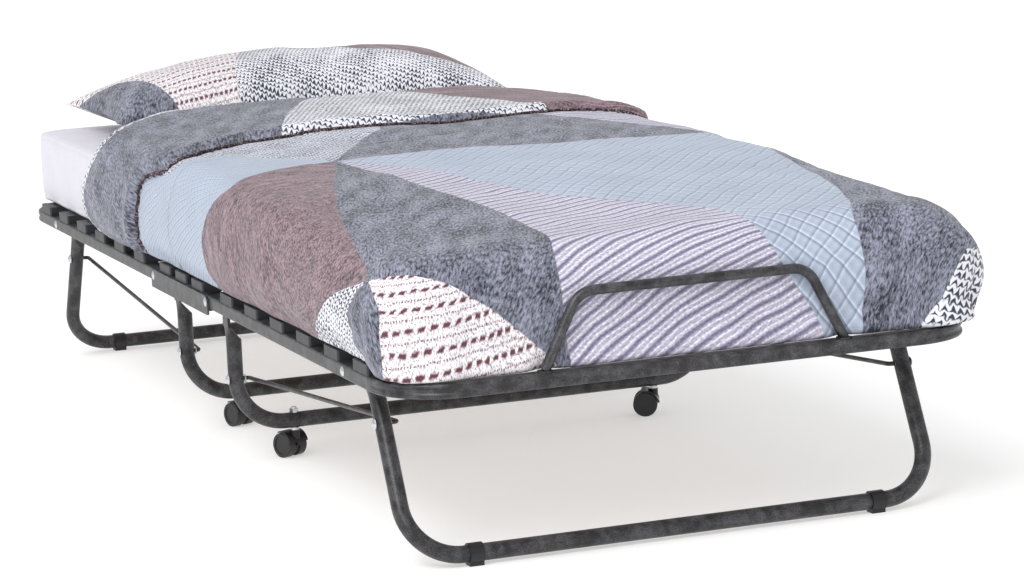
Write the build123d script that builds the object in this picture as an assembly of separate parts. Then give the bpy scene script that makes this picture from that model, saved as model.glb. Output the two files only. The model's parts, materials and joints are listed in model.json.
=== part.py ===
"""Folding cot: a bed frame in two halves that fold up about a wheeled middle, with its mattress and bedding.

The cot lies along Y with its foot end at -Y, its width along X, and stands on Z = 0. Millimetres and degrees.
"""
import math
import os

from build123d import *

# ---- overall ----
LENGTH = 1900.0            # outside length over both end rails
WIDTH = 800.0              # outside width over both side rails
RAIL_TOP = 248.0           # height of the top of the rails
CLEARANCE = 0.3            # gap between pieces that move past each other
PIN_CLEARANCE = 0.08       # radial gap of a pin in its hole

# ---- rails: rectangular steel tube ----
RAIL_W = 25.0
RAIL_H = 18.5
RAIL_WALL = 1.5
RAIL_EDGE = 3.0            # edge radius of the rail tube
CORNER_R = 95.0            # outer radius of the rail corners
GROOVE_DEPTH = 2.6         # dent of the outer wall in the rail corners, left by bending
GROOVE_R = 5.5             # radius of that dent's section

# ---- middle: channels that join the two halves ----
PIVOT_Y = 138.0            # half-frame pivots, from the middle of the cot
RAIL_END = 11.0            # rail beyond its pivot, towards the middle
CHANNEL_T = 2.5
CHANNEL_OVERHANG = 10.0    # channel beyond the pivot, away from the middle
CHANNEL_BOTTOM = 221.0     # height of the underside of the channel
CHANNEL_END_R = 10.0       # rounding of the channel's upper corners
CHANNEL_BOTTOM_R = 3.0
PIVOT_PIN_R = 4.0
RIVET_HEAD_R = 6.5
RIVET_HEAD_H = 1.8

# ---- legs: round steel tube, flattened at the top ----
LEG_R = 11.0
LEG_WALL = 1.5
LEG_X = 361.0              # middle of the leg tubes, from the middle of the cot
LEG_BEND_R = 70.0          # middle-line radius of the leg bends
TONGUE_T = 4.0             # thickness of the flattened top
TONGUE_W = 26.0            # width of the flattened top
TONGUE_TIP_R = 9.3         # rounding of the flattened top about its pivot
TONGUE_L = 22.0            # flattened length below the pivot
PINCH_L = 20.0             # length over which the tube changes from round to flat
CENTRE_LEG_Y = 127.0
CENTRE_BAR_Z = 54.5        # middle of the centre legs' crossbars
CENTRE_TOP_Z = 221.0       # middle of the centre legs' rounded tips
LEG_RIVET_R = 3.0
LEG_RIVET_HEAD_R = 4.5
LEG_RIVET_SPACING = 14.0
LEG_RIVET_Z = 226.5
END_LEG_SPLAY = 27.5       # outward lean of the end legs
END_BAR_Y = 863.0          # middle of the end legs' crossbars, from the middle of the cot
CLIP_WALL = 4.0            # thickness of the plastic foot clips under the end crossbars
CLIP_W = 19.0
CLIP_RING = 2.4            # thickness of the clips' ring, thinner than their foot
CLIP_X = 277.0
CLIP_PAD_W = 17.0
LEG_BOLT_R = 3.5
LEG_BOLT_HEAD_R = 6.5
LEG_BOLT_HEAD_H = 2.6
LEG_NUT_R = 6.0
LEG_NUT_H = 4.5

# ---- brace rods between the centre legs and the end legs ----
ROD_R = 3.0
ROD_X = 342.0              # middle of the rods, from the middle of the cot
ROD_BEND_R = 5.0
ROD_PIVOT_Z = 122.5        # height of the rod pivots in the centre legs
ROD_PIN_DOWN = 72.5        # rod pin in the end leg, along the leg from the leg's pivot
ROD_CAP_R = 7.0
ROD_CAP_H = 4.0
ROD_COLLAR_R = 5.5
ROD_COLLAR_T = 1.5
ROD_COLLAR_GAP = 1.3       # between a collar and the leg, whose bend starts beside it

# ---- slats ----
SLAT_W = 53.0
SLAT_T = 8.0
SLAT_EDGE = 2.0
SLAT_CLEARANCE = 0.1
SLATS_PER_HALF = 6
SLAT_FIRST_Y = 230.0       # first slat of each half, from the middle of the cot
SLAT_PITCH = 117.0
CENTRE_SLAT_PITCH = 85.0
HOLDER_W = 58.0
HOLDER_L = 47.0
HOLDER_FLOOR = 3.2
HOLDER_ROOF = 2.4
HOLDER_SET_IN = 1.0        # holder's outer end, inside the rail's outer face
HOLDER_END_T = 4.0
PEG_R = 3.9
PEG_L = 6.0

# ---- mattress retaining bows ----
BOW_R = 6.5
BOW_WALL = 1.2
BOW_FOOT_X = 202.0
BOW_TOP_X = 154.0
BOW_TOP_Z = 343.0
BOW_BEND_R = 34.0
BOW_FLANGE_R = 10.0
BOW_FLANGE_T = 2.0

# ---- castors ----
CASTOR_X = 278.0
WHEEL_R = 18.0
WHEEL_W = 13.0
WHEEL_GAP = 8.0            # between the two wheels of a castor
HOOD_T = 7.0
HOOD_WALL = 2.0
HOOD_WHEEL_GAP = 0.7
TRAIL = 12.0               # castor stem ahead of its axle
STEM_R = 4.0
BOSS_R = 7.0
AXLE_R = 2.5
NUT_R = 6.5
NUT_H = 5.5
CASTOR_HEADINGS = {"foot_left": 25.0, "foot_right": 65.0, "head_left": 20.0, "head_right": 40.0}

# ---- mattress and bedding ----
MATTRESS_W = 772.0
MATTRESS_T = 112.0
MATTRESS_CORNER_R = 50.0
MATTRESS_FOOT_Y = 912.0
MATTRESS_HEAD_Y = 926.0
MATTRESS_SPLIT_Y = 170.0   # end of the mattress's middle part
SOFT_GAP = 0.3
DUVET_SIDE = 24.0          # thickness of the duvet at the sides
DUVET_TOP = 42.0           # thickness of the duvet over the mattress
DUVET_FOOT = 14.0
DUVET_HEAD_Y = 560.0       # head end of the duvet
DUVET_EDGE_R = 18.0
PILLOW_W = 740.0
PILLOW_L = 340.0
PILLOW_T = 125.0
PILLOW_Y = 732.0           # middle of the pillow

# ---- places worked out from the sizes above ----
RAIL_Z = RAIL_TOP - RAIL_H / 2
RAIL_X = WIDTH / 2 - RAIL_W / 2
END_RAIL_Y = LENGTH / 2 - RAIL_W / 2
RAIL_INNER_X = WIDTH / 2 - RAIL_W
END_BAR_Z = LEG_R + CLIP_WALL
PIVOT_Z = RAIL_Z
LEG_PIVOT_Z = RAIL_Z
LEG_PIVOT_Y = END_BAR_Y - (LEG_PIVOT_Z - END_BAR_Z) * math.tan(math.radians(END_LEG_SPLAY))
END_LEG_L = (LEG_PIVOT_Z - END_BAR_Z) / math.cos(math.radians(END_LEG_SPLAY))
TONGUE_X = LEG_X + LEG_R - TONGUE_T / 2
WEB_OUT_X = WIDTH / 2 + CLEARANCE + CHANNEL_T / 2
WEB_IN_X = RAIL_INNER_X - CLEARANCE - CHANNEL_T / 2
SLAT_BOTTOM = RAIL_TOP + HOLDER_FLOOR
HOLDER_TOP = SLAT_BOTTOM + SLAT_T + SLAT_CLEARANCE + HOLDER_ROOF
HOLDER_OUTER_X = WIDTH / 2 - HOLDER_SET_IN
SLAT_HALF_L = HOLDER_OUTER_X - HOLDER_END_T - CLEARANCE
MATTRESS_BOTTOM = HOLDER_TOP + SOFT_GAP
MATTRESS_TOP = MATTRESS_BOTTOM + MATTRESS_T
CHANNEL_END = PIVOT_Y + CHANNEL_OVERHANG
CENTRE_RAIL_END = PIVOT_Y - math.hypot(RAIL_END, RAIL_H / 2) - 2.0
FLOOR_END = CENTRE_RAIL_END - 8.0
HALF_SLATS = [SLAT_FIRST_Y + n * SLAT_PITCH for n in range(SLATS_PER_HALF)]
CENTRE_SLATS = [-CENTRE_SLAT_PITCH, 0.0, CENTRE_SLAT_PITCH]
ENDS = {"foot": -1, "head": 1}
SIDES = {"left": -1, "right": 1}


def cylinder_x(radius, x_from, x_to, y, z):
    """A cylinder along X between two stations."""
    middle = (x_from + x_to) / 2
    return Pos(middle, y, z) * Rot(0, 90, 0) * Cylinder(radius, abs(x_to - x_from))


def cylinder_z(radius, x, y, z_from, z_to):
    """An upright cylinder between two heights."""
    return Pos(x, y, (z_from + z_to) / 2) * Cylinder(radius, z_to - z_from)


def block(x_from, x_to, y_from, y_to, z_from, z_to):
    """A box between two corners."""
    middle = ((x_from + x_to) / 2, (y_from + y_to) / 2, (z_from + z_to) / 2)
    return Pos(*middle) * Box(abs(x_to - x_from), abs(y_to - y_from), abs(z_to - z_from))


def dome_x(radius, height, x, y, z, way):
    """A domed rivet head that stands on the plane X = x, towards way (-1 or 1)."""
    sphere_r = (radius ** 2 + height ** 2) / (2 * height)
    latitude = math.degrees(math.asin((sphere_r - height) / sphere_r))
    cap = Sphere(sphere_r, arc_size1=latitude, align=(Align.CENTER, Align.CENTER, Align.MIN))
    return Pos(x, y, z) * Rot(0, way * 90, 0) * cap


def swept_tube(points, bend_r, outer_r, wall=None):
    """A round tube, or a solid rod where no wall is given, along straight runs joined by bends."""
    path = FilletPolyline(*points, radius=bend_r)
    start = Plane(origin=path @ 0, z_dir=path % 0)
    ring = Circle(outer_r) if wall is None else Circle(outer_r) - Circle(outer_r - wall)
    return sweep(start * ring, path=path)


def joined(pieces):
    """All pieces fused into one solid."""
    result = pieces[0]
    for piece in pieces[1:]:
        result = result + piece
    return result


def group(pieces):
    """Separate solids that share one node."""
    solids = [solid for piece in pieces for solid in piece.solids()]
    return Compound(children=[Solid(s.wrapped) for s in solids])


def save(name, shape):
    export_step(shape, f"parts/{name}.step")


# ---- rails ----
def rail_run(inset, narrow, end):
    """The U of one half frame, as a solid bar whose section is the rail's, smaller by inset on every face.

    Args: inset, how much smaller; narrow, how much more it is smaller on the outer face of the corners;
    end, -1 for the foot half or 1 for the head half.
    """
    edge = max(RAIL_EDGE - inset, 0.5)
    wide, high = RAIL_W - 2 * inset, RAIL_H - 2 * inset
    inner_end = PIVOT_Y - RAIL_END
    corner_y = LENGTH / 2 - CORNER_R
    corner_x = WIDTH / 2 - CORNER_R
    extra = 1.0 if inset else 0.0      # the bore runs out through the open ends
    pieces = []
    for side in (-1, 1):
        across = Plane(origin=(side * RAIL_X, end * (inner_end - extra), RAIL_Z), x_dir=(1, 0, 0), z_dir=(0, end, 0))
        pieces.append(extrude(across * RectangleRounded(wide, high, edge), amount=corner_y - inner_end + extra))
        bend_middle = (CORNER_R - RAIL_W / 2) - narrow / 2
        section = Plane(origin=(side * (corner_x + bend_middle), end * corner_y, RAIL_Z), x_dir=(1, 0, 0), z_dir=(0, 1, 0))
        turn = Axis((side * corner_x, end * corner_y, 0), (0, 0, side * end))
        pieces.append(revolve(section * RectangleRounded(wide - narrow, high, edge), axis=turn, revolution_arc=90))
    along = Plane(origin=(-corner_x, end * END_RAIL_Y, RAIL_Z), x_dir=(0, 1, 0), z_dir=(1, 0, 0))
    pieces.append(extrude(along * RectangleRounded(wide, high, edge), amount=2 * corner_x))
    return joined(pieces)


def corner_groove(side, end):
    """The dent that bending leaves in the outer wall of a corner: deepest in its middle, gone at its ends."""
    shift = (2 * CORNER_R * GROOVE_DEPTH - GROOVE_DEPTH ** 2) / ((2 - math.sqrt(2)) * CORNER_R - 2 * GROOVE_DEPTH)
    reach = CORNER_R + shift - GROOVE_DEPTH + GROOVE_R
    x = side * (WIDTH / 2 - CORNER_R - shift / math.sqrt(2))
    y = end * (LENGTH / 2 - CORNER_R - shift / math.sqrt(2))
    far = reach + 2 * GROOVE_R
    corner = block(x, x + side * far, y, y + end * far, RAIL_Z - 2 * GROOVE_R, RAIL_Z + 2 * GROOVE_R)
    return (Pos(x, y, RAIL_Z) * Torus(reach, GROOVE_R)) & corner


def half_frame(end):
    """One half's rail: a U of rectangular tube, with its grooves, pivot holes, bolt holes and slat peg holes."""
    rail = rail_run(0.0, 0.0, end) - rail_run(RAIL_WALL, GROOVE_DEPTH, end)
    for side in (-1, 1):
        rail = rail - corner_groove(side, end)
        outer, inner = side * (WIDTH / 2 + 1), side * (RAIL_INNER_X - 1)
        rail = rail - cylinder_x(PIVOT_PIN_R + PIN_CLEARANCE, outer, inner, end * PIVOT_Y, PIVOT_Z)
        rail = rail - cylinder_x(LEG_BOLT_R + PIN_CLEARANCE, outer, inner, end * LEG_PIVOT_Y, LEG_PIVOT_Z)
        for y in HALF_SLATS:
            top = RAIL_TOP + 1
            rail = rail - cylinder_z(PEG_R + PIN_CLEARANCE, side * RAIL_X, end * y, RAIL_TOP - RAIL_WALL - 1, top)
    return rail


def centre_rail(side):
    """The short fixed rail between the two halves, welded inside its channel."""
    width = RAIL_W + 2 * CLEARANCE
    across = Plane(origin=(side * RAIL_X, -CENTRE_RAIL_END, RAIL_Z), x_dir=(1, 0, 0), z_dir=(0, 1, 0))
    section = RectangleRounded(width, RAIL_H, RAIL_EDGE)
    bore = RectangleRounded(width - 2 * RAIL_WALL, RAIL_H - 2 * RAIL_WALL, RAIL_EDGE - RAIL_WALL)
    rail = extrude(across * (section - bore), amount=2 * CENTRE_RAIL_END)
    for y in CENTRE_SLATS:
        rail = rail - cylinder_z(PEG_R + PIN_CLEARANCE, side * RAIL_X, y, RAIL_TOP - RAIL_WALL - 1, RAIL_TOP + 1)
    return rail


def channel(side):
    """The sheet steel channel that carries both pivots: two webs and a floor that stops short of the rail ends."""
    upright = Plane(origin=(0, 0, 0), x_dir=(0, 1, 0), z_dir=(1, 0, 0))
    height = RAIL_TOP - CHANNEL_BOTTOM
    outline = upright * Pos(0, (RAIL_TOP + CHANNEL_BOTTOM) / 2) * Rectangle(2 * CHANNEL_END, height)
    outline = fillet([v for v in outline.vertices() if v.Z > RAIL_TOP - 1], CHANNEL_END_R)
    outline = fillet([v for v in outline.vertices() if v.Z < CHANNEL_BOTTOM + 1], CHANNEL_BOTTOM_R)
    web = extrude(outline, amount=CHANNEL_T)
    outer = Pos(side * WEB_OUT_X - CHANNEL_T / 2, 0, 0) * web
    inner = Pos(side * WEB_IN_X - CHANNEL_T / 2, 0, 0) * web
    floor = block(side * (WEB_IN_X + CHANNEL_T / 4), side * (WEB_OUT_X - CHANNEL_T / 4),
                  -FLOOR_END, FLOOR_END, CHANNEL_BOTTOM, CHANNEL_BOTTOM + CHANNEL_T)
    body = outer + inner + floor
    for end in (-1, 1):
        body = body - cylinder_x(PIVOT_PIN_R, side * (WEB_OUT_X + 5), side * (WEB_IN_X - 5), end * PIVOT_Y, PIVOT_Z)
        for y in rivet_places(end):
            hole = cylinder_x(LEG_RIVET_R, side * RAIL_X, side * (WEB_IN_X - 5), y, LEG_RIVET_Z)
            body = body - hole
    return body


def rivet_places(end):
    """Where the two rivets of a centre leg's top stand along Y."""
    return [end * CENTRE_LEG_Y + step * LEG_RIVET_SPACING / 2 for step in (-1, 1)]


def middle_rivets():
    """Pivot rivets of the halves, and the centre legs' rivets, which are flush where the rails swing past."""
    rivets = []
    for side in (-1, 1):
        for end in (-1, 1):
            x_out, x_in = side * (WEB_OUT_X + CHANNEL_T / 2), side * (WEB_IN_X - CHANNEL_T / 2)
            place = (end * PIVOT_Y, PIVOT_Z)
            rivets.append(cylinder_x(PIVOT_PIN_R, x_out, x_in, *place)
                          + dome_x(RIVET_HEAD_R, RIVET_HEAD_H, x_out, *place, side)
                          + dome_x(RIVET_HEAD_R, RIVET_HEAD_H, x_in, *place, -side))
            for y in rivet_places(end):
                x_web = side * (WEB_IN_X + CHANNEL_T / 2)
                x_leg = side * (TONGUE_X - TONGUE_T / 2)
                rivets.append(cylinder_x(LEG_RIVET_R, x_web, x_leg, y, LEG_RIVET_Z)
                              + dome_x(LEG_RIVET_HEAD_R, RIVET_HEAD_H, x_leg, y, LEG_RIVET_Z, -side))
    return group(rivets)


# ---- legs ----
def tongue(side, tip_r, pivot_z):
    """A tube's flattened top, hanging from its rounded tip at pivot_z, and the pinch that runs into the round tube."""
    upright = Plane(origin=(side * TONGUE_X - TONGUE_T / 2, 0, 0), x_dir=(0, 1, 0), z_dir=(1, 0, 0))
    flat_bottom = pivot_z - TONGUE_L
    tip = Pos(0, pivot_z) * Circle(tip_r)
    plate = Pos(0, flat_bottom + 0.25) * Rectangle(TONGUE_W, 0.5)
    flat = extrude(upright * make_hull(tip.edges() + plate.edges()), amount=TONGUE_T)
    top = Plane(origin=(side * TONGUE_X, 0, flat_bottom), z_dir=(0, 0, -1))
    bottom = Plane(origin=(side * LEG_X, 0, flat_bottom - PINCH_L), z_dir=(0, 0, -1))
    pinch = loft([top * Ellipse(TONGUE_T / 2, TONGUE_W / 2), bottom * Circle(LEG_R)])
    return flat + pinch


def leg_u(pivot_z, bar_z, tip_r):
    """A U of round tube with both tops flattened, standing upright in the plane Y = 0."""
    round_top = pivot_z - TONGUE_L - PINCH_L
    points = [(-LEG_X, 0, round_top), (-LEG_X, 0, bar_z), (LEG_X, 0, bar_z), (LEG_X, 0, round_top)]
    tube = swept_tube(points, LEG_BEND_R, LEG_R, LEG_WALL)
    return tube + tongue(-1, tip_r, pivot_z) + tongue(1, tip_r, pivot_z)


def centre_leg(end):
    """The fixed wheeled leg under one half's pivots, with rod pivot holes, rivet holes and castor stem holes."""
    leg = Pos(0, end * CENTRE_LEG_Y, 0) * leg_u(CENTRE_TOP_Z, CENTRE_BAR_Z, TONGUE_W / 2 - 2)
    for side in (-1, 1):
        reach = (side * (LEG_X + LEG_R + 1), side * (LEG_X - LEG_R - 1))
        leg = leg - cylinder_x(ROD_R + PIN_CLEARANCE, *reach, end * CENTRE_LEG_Y, ROD_PIVOT_Z)
        leg = leg - cylinder_z(STEM_R, side * CASTOR_X, end * CENTRE_LEG_Y, CENTRE_BAR_Z - 20, CENTRE_BAR_Z + 20)
        for y in rivet_places(end):
            leg = leg - cylinder_x(LEG_RIVET_R, *reach, y, LEG_RIVET_Z)
    return leg


def splayed(end):
    """Turns a piece made upright with its pivot at the origin to an end leg's lean, and puts it at its pivot."""
    return Pos(0, end * LEG_PIVOT_Y, LEG_PIVOT_Z) * Rot(end * END_LEG_SPLAY, 0, 0)


def end_leg(end):
    """The folding leg of one end, with pivot holes in its flattened tops and holes for the rod pins."""
    leg = leg_u(0, -END_LEG_L, TONGUE_TIP_R)
    for side in (-1, 1):
        reach = (side * (LEG_X + LEG_R + 1), side * (LEG_X - LEG_R - 1))
        leg = leg - cylinder_x(LEG_BOLT_R + PIN_CLEARANCE, *reach, 0, 0)
        leg = leg - cylinder_x(ROD_R, *reach, 0, -ROD_PIN_DOWN)
    return splayed(end) * leg


def foot_clips(end):
    """Plastic clips that wrap the crossbar near its bends and stand on the floor."""
    clips = []
    for side in (-1, 1):
        x_from, x_to = side * CLIP_X - CLIP_W / 2, side * CLIP_X + CLIP_W / 2
        ring = cylinder_x(LEG_R + CLIP_RING, x_from, x_to, end * END_BAR_Y, END_BAR_Z)
        pad = block(x_from, x_to, end * END_BAR_Y - CLIP_PAD_W / 2, end * END_BAR_Y + CLIP_PAD_W / 2, 0, END_BAR_Z)
        bore = cylinder_x(LEG_R + 0.02, x_from - 1, x_to + 1, end * END_BAR_Y, END_BAR_Z)
        clips.append(ring + pad - bore)
    return group(clips)


def leg_bolts(end):
    """The bolts that the end legs turn on, with domed heads on the outer face of the rails and nuts inside."""
    bolts = []
    for side in (-1, 1):
        head_x, nut_x = side * WIDTH / 2, side * (TONGUE_X - TONGUE_T / 2 - CLEARANCE)
        place = (end * LEG_PIVOT_Y, LEG_PIVOT_Z)
        nut = extrude(Plane(origin=(nut_x, *place), z_dir=(-side, 0, 0)) * RegularPolygon(LEG_NUT_R, 6), amount=LEG_NUT_H)
        bolts.append(cylinder_x(LEG_BOLT_R, head_x, nut_x, *place) + nut
                     + dome_x(LEG_BOLT_HEAD_R, LEG_BOLT_HEAD_H, head_x, *place, side))
    return group(bolts)


def leg_washers(end):
    """Spacer washers between the rails and the flattened tops of the end legs."""
    washers = []
    for side in (-1, 1):
        x_rail, x_tongue = side * RAIL_INNER_X, side * (TONGUE_X + TONGUE_T / 2 + CLEARANCE)
        place = (end * LEG_PIVOT_Y, LEG_PIVOT_Z)
        washers.append(cylinder_x(LEG_BOLT_HEAD_R + 1.5, x_rail, x_tongue, *place)
                       - cylinder_x(LEG_BOLT_R + 0.02, x_rail + side, x_tongue - side, *place))
    return group(washers)


# ---- brace rods ----
def rod_pin_place(end):
    """Where an end leg's rod pin stands, as Y and Z."""
    lean = math.radians(END_LEG_SPLAY)
    return end * (LEG_PIVOT_Y + ROD_PIN_DOWN * math.sin(lean)), LEG_PIVOT_Z - ROD_PIN_DOWN * math.cos(lean)


def brace_rods(end):
    """Steel rods from a pivot through the centre leg to beside the pin in the end leg, both ends bent to the side."""
    pin_y, pin_z = rod_pin_place(end)
    leg_inner = LEG_X - LEG_R - CLEARANCE
    rods = []
    for side in (-1, 1):
        points = [
            (side * (LEG_X + LEG_R + CLEARANCE + ROD_CAP_H / 2), end * CENTRE_LEG_Y, ROD_PIVOT_Z),
            (side * ROD_X, end * CENTRE_LEG_Y, ROD_PIVOT_Z),
            (side * ROD_X, pin_y, pin_z),
            (side * leg_inner, pin_y, pin_z),
        ]
        rods.append(swept_tube(points, ROD_BEND_R, ROD_R))
    return group(rods)


def rod_caps(end):
    """Domed push caps on the outer ends of the rods, and the collars that keep them from sliding back."""
    caps = []
    for side in (-1, 1):
        place = (end * CENTRE_LEG_Y, ROD_PIVOT_Z)
        face = side * (LEG_X + LEG_R + CLEARANCE)
        dome = dome_x(ROD_CAP_R, ROD_CAP_H, face, *place, side)
        bore = cylinder_x(ROD_R, face - side, face + side * ROD_CAP_H / 2, *place)
        caps.append(dome - bore)
        inner = side * (LEG_X - LEG_R - ROD_COLLAR_GAP)
        collar = cylinder_x(ROD_COLLAR_R, inner, inner - side * ROD_COLLAR_T, *place)
        caps.append(collar - cylinder_x(ROD_R, inner + side, inner - side * 5, *place))
    return group(caps)


def rod_pins(end):
    """The pins through the end legs at the rods' far ends, with a domed head on the outer side."""
    pins = []
    for side in (-1, 1):
        place = rod_pin_place(end)
        face = side * (LEG_X + LEG_R)
        pins.append(cylinder_x(ROD_R, face, side * (LEG_X - LEG_R), *place)
                    + dome_x(ROD_CAP_R, ROD_CAP_H, face, *place, side))
    return group(pins)


# ---- slats and their holders ----
def slat(y):
    """One wooden slat."""
    bar = block(-SLAT_HALF_L, SLAT_HALF_L, y - SLAT_W / 2, y + SLAT_W / 2, SLAT_BOTTOM, SLAT_BOTTOM + SLAT_T)
    return fillet(bar.edges().filter_by(Axis.X), SLAT_EDGE)


def holder(side, y):
    """A plastic pocket that takes a slat's end and plugs into the rail with a peg."""
    outer, inner = side * HOLDER_OUTER_X, side * (HOLDER_OUTER_X - HOLDER_L)
    body = block(outer, inner, y - HOLDER_W / 2, y + HOLDER_W / 2, RAIL_TOP, HOLDER_TOP)
    body = fillet(body.edges().filter_by(Axis.Z), 3.0)
    pocket_w = SLAT_W / 2 + SLAT_CLEARANCE
    pocket = block(side * (SLAT_HALF_L + SLAT_CLEARANCE), inner - side, y - pocket_w, y + pocket_w,
                   SLAT_BOTTOM - SLAT_CLEARANCE, SLAT_BOTTOM + SLAT_T + SLAT_CLEARANCE)
    peg = cylinder_z(PEG_R, side * RAIL_X, y, RAIL_TOP - PEG_L, RAIL_TOP + 1)
    return body + peg - pocket


def holders(places):
    """The holders of several slats, on both rails."""
    return group([holder(side, y) for y in places for side in (-1, 1)])


# ---- bows ----
def bow(end):
    """The low bow that keeps the mattress in place, standing on the end rail on two small flanges."""
    y = end * END_RAIL_Y
    foot_z = RAIL_TOP + BOW_FLANGE_T
    points = [(-BOW_FOOT_X, y, foot_z), (-BOW_TOP_X, y, BOW_TOP_Z), (BOW_TOP_X, y, BOW_TOP_Z), (BOW_FOOT_X, y, foot_z)]
    path = FilletPolyline(*points, radius=BOW_BEND_R)
    tube = sweep(Plane(origin=path @ 0, z_dir=path % 0) * (Circle(BOW_R) - Circle(BOW_R - BOW_WALL)), path=path)
    tube = tube & block(-WIDTH, WIDTH, y - 50, y + 50, foot_z, BOW_TOP_Z + 50)
    flanges = [cylinder_z(BOW_FLANGE_R, side * BOW_FOOT_X, y, RAIL_TOP, foot_z) for side in (-1, 1)]
    return tube + flanges[0] + flanges[1]


# ---- castors ----
def at_castor(name):
    """The place and heading of a castor, from its own frame: stem on Z, axle along X and behind the stem."""
    end, side = name.split("_")
    return Pos(SIDES[side] * CASTOR_X, ENDS[end] * CENTRE_LEG_Y, 0) * Rot(0, 0, CASTOR_HEADINGS[name])


def castor_hood(name):
    """The plastic body between and over the two wheels, with the bore that turns on the stem."""
    radius = WHEEL_R + HOOD_WHEEL_GAP
    width = 2 * WHEEL_W + WHEEL_GAP
    core = cylinder_x(WHEEL_R - 2.5, -HOOD_T / 2, HOOD_T / 2, TRAIL, WHEEL_R)
    shell = (cylinder_x(radius + HOOD_WALL, -width / 2, width / 2, TRAIL, WHEEL_R)
             - cylinder_x(radius, -width, width, TRAIL, WHEEL_R))
    shell = shell & block(-width, width, TRAIL - radius - 5, TRAIL + 6, WHEEL_R + 5, 2 * WHEEL_R + 10)
    web = cylinder_x(radius + HOOD_WALL, -HOOD_T / 2, HOOD_T / 2, TRAIL, WHEEL_R)
    web = web & block(-HOOD_T, HOOD_T, TRAIL - radius - 5, TRAIL + 6, WHEEL_R, 2 * WHEEL_R + 10)
    boss = cylinder_z(BOSS_R, 0, 0, 2 * WHEEL_R - 9, 2 * WHEEL_R + 4)
    gap = WHEEL_GAP / 2
    rooms = [cylinder_x(radius, way * gap, way * (gap + WHEEL_W + 1), TRAIL, WHEEL_R) for way in (-1, 1)]
    body = core + shell + web + boss - rooms[0] - rooms[1]
    body = body - cylinder_x(AXLE_R + PIN_CLEARANCE, -width, width, TRAIL, WHEEL_R)
    body = body - cylinder_z(STEM_R + PIN_CLEARANCE, 0, 0, 2 * WHEEL_R - 5, 2 * WHEEL_R + 10)
    return at_castor(name) * body


def castor_wheels(name):
    """Two wheels on one axle."""
    pieces = []
    gap = WHEEL_GAP / 2
    for way in (-1, 1):
        wheel = cylinder_x(WHEEL_R, way * gap, way * (gap + WHEEL_W), TRAIL, WHEEL_R)
        wheel = fillet(wheel.edges(), 1.5)
        dish = cylinder_x(WHEEL_R - 5, way * (gap + WHEEL_W - 1.0), way * (gap + WHEEL_W + 1), TRAIL, WHEEL_R)
        pieces.append(wheel - dish - cylinder_x(AXLE_R, way * gap - way, way * (gap + WHEEL_W - 3), TRAIL, WHEEL_R))
    pieces.append(cylinder_x(AXLE_R, -(gap + WHEEL_W - 3), gap + WHEEL_W - 3, TRAIL, WHEEL_R))
    return at_castor(name) * group(pieces)


def castor_stems():
    """Threaded stems through the crossbars of the centre legs."""
    nut_top = CENTRE_BAR_Z + LEG_R + NUT_H
    stems = []
    for name in CASTOR_HEADINGS:
        end, side = name.split("_")
        x, y = SIDES[side] * CASTOR_X, ENDS[end] * CENTRE_LEG_Y
        shank = cylinder_z(STEM_R, x, y, 2 * WHEEL_R - 4.5, nut_top + 2.5)
        collar_bottom = 2 * WHEEL_R + 4 + CLEARANCE
        collar = cylinder_z(STEM_R + 2.5, x, y, collar_bottom, CENTRE_BAR_Z - LEG_R)
        stems.append(shank + collar)
    return group(stems)


def castor_nuts():
    """Nuts on top of the crossbars that hold the castor stems."""
    nuts = []
    for name in CASTOR_HEADINGS:
        end, side = name.split("_")
        place = Pos(SIDES[side] * CASTOR_X, ENDS[end] * CENTRE_LEG_Y, CENTRE_BAR_Z + LEG_R)
        nuts.append(place * extrude(RegularPolygon(NUT_R, 6) - Circle(STEM_R), amount=NUT_H))
    return group(nuts)


# ---- mattress and bedding ----
def slab(half_width, y_from, y_to, z_from, z_to, corner_r=0.0, outer_y=None):
    """A flat block whose two upright edges at outer_y are rounded."""
    body = block(-half_width, half_width, y_from, y_to, z_from, z_to)
    if corner_r:
        edges = [e for e in body.edges().filter_by(Axis.Z) if abs(e.center().Y - outer_y) < 1]
        body = fillet(edges, corner_r)
    return body


def mattress_half(end):
    """The part of the mattress that turns with one half."""
    outer = end * (MATTRESS_FOOT_Y if end < 0 else MATTRESS_HEAD_Y)
    return slab(MATTRESS_W / 2, end * MATTRESS_SPLIT_Y, outer, MATTRESS_BOTTOM, MATTRESS_TOP,
                MATTRESS_CORNER_R, outer)


def mattress_middle(end):
    """The part of the mattress that bends, from the middle of the cot to one half's part."""
    return slab(MATTRESS_W / 2, end * SOFT_GAP / 2, end * (MATTRESS_SPLIT_Y - SOFT_GAP), MATTRESS_BOTTOM, MATTRESS_TOP)


def duvet(end):
    """The duvet over one half: a top and two sides, and a hanging end over the foot of the mattress."""
    foot_y = MATTRESS_FOOT_Y + SOFT_GAP
    outer_y = -(foot_y + DUVET_FOOT) if end < 0 else DUVET_HEAD_Y
    inner_half = MATTRESS_W / 2 + SOFT_GAP
    z_low, z_top = MATTRESS_BOTTOM, MATTRESS_TOP + SOFT_GAP + DUVET_TOP
    start = end * SOFT_GAP / 2
    body = block(-inner_half - DUVET_SIDE, inner_half + DUVET_SIDE, start, outer_y, z_low, z_top)
    body = fillet([e for e in body.edges().filter_by(Axis.Y) if e.center().Z > z_low + 1], DUVET_EDGE_R)
    room_end = -foot_y if end < 0 else outer_y + 1
    room = block(-inner_half, inner_half, start - end, room_end, z_low - 1, MATTRESS_TOP + SOFT_GAP)
    return body - room


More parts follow.
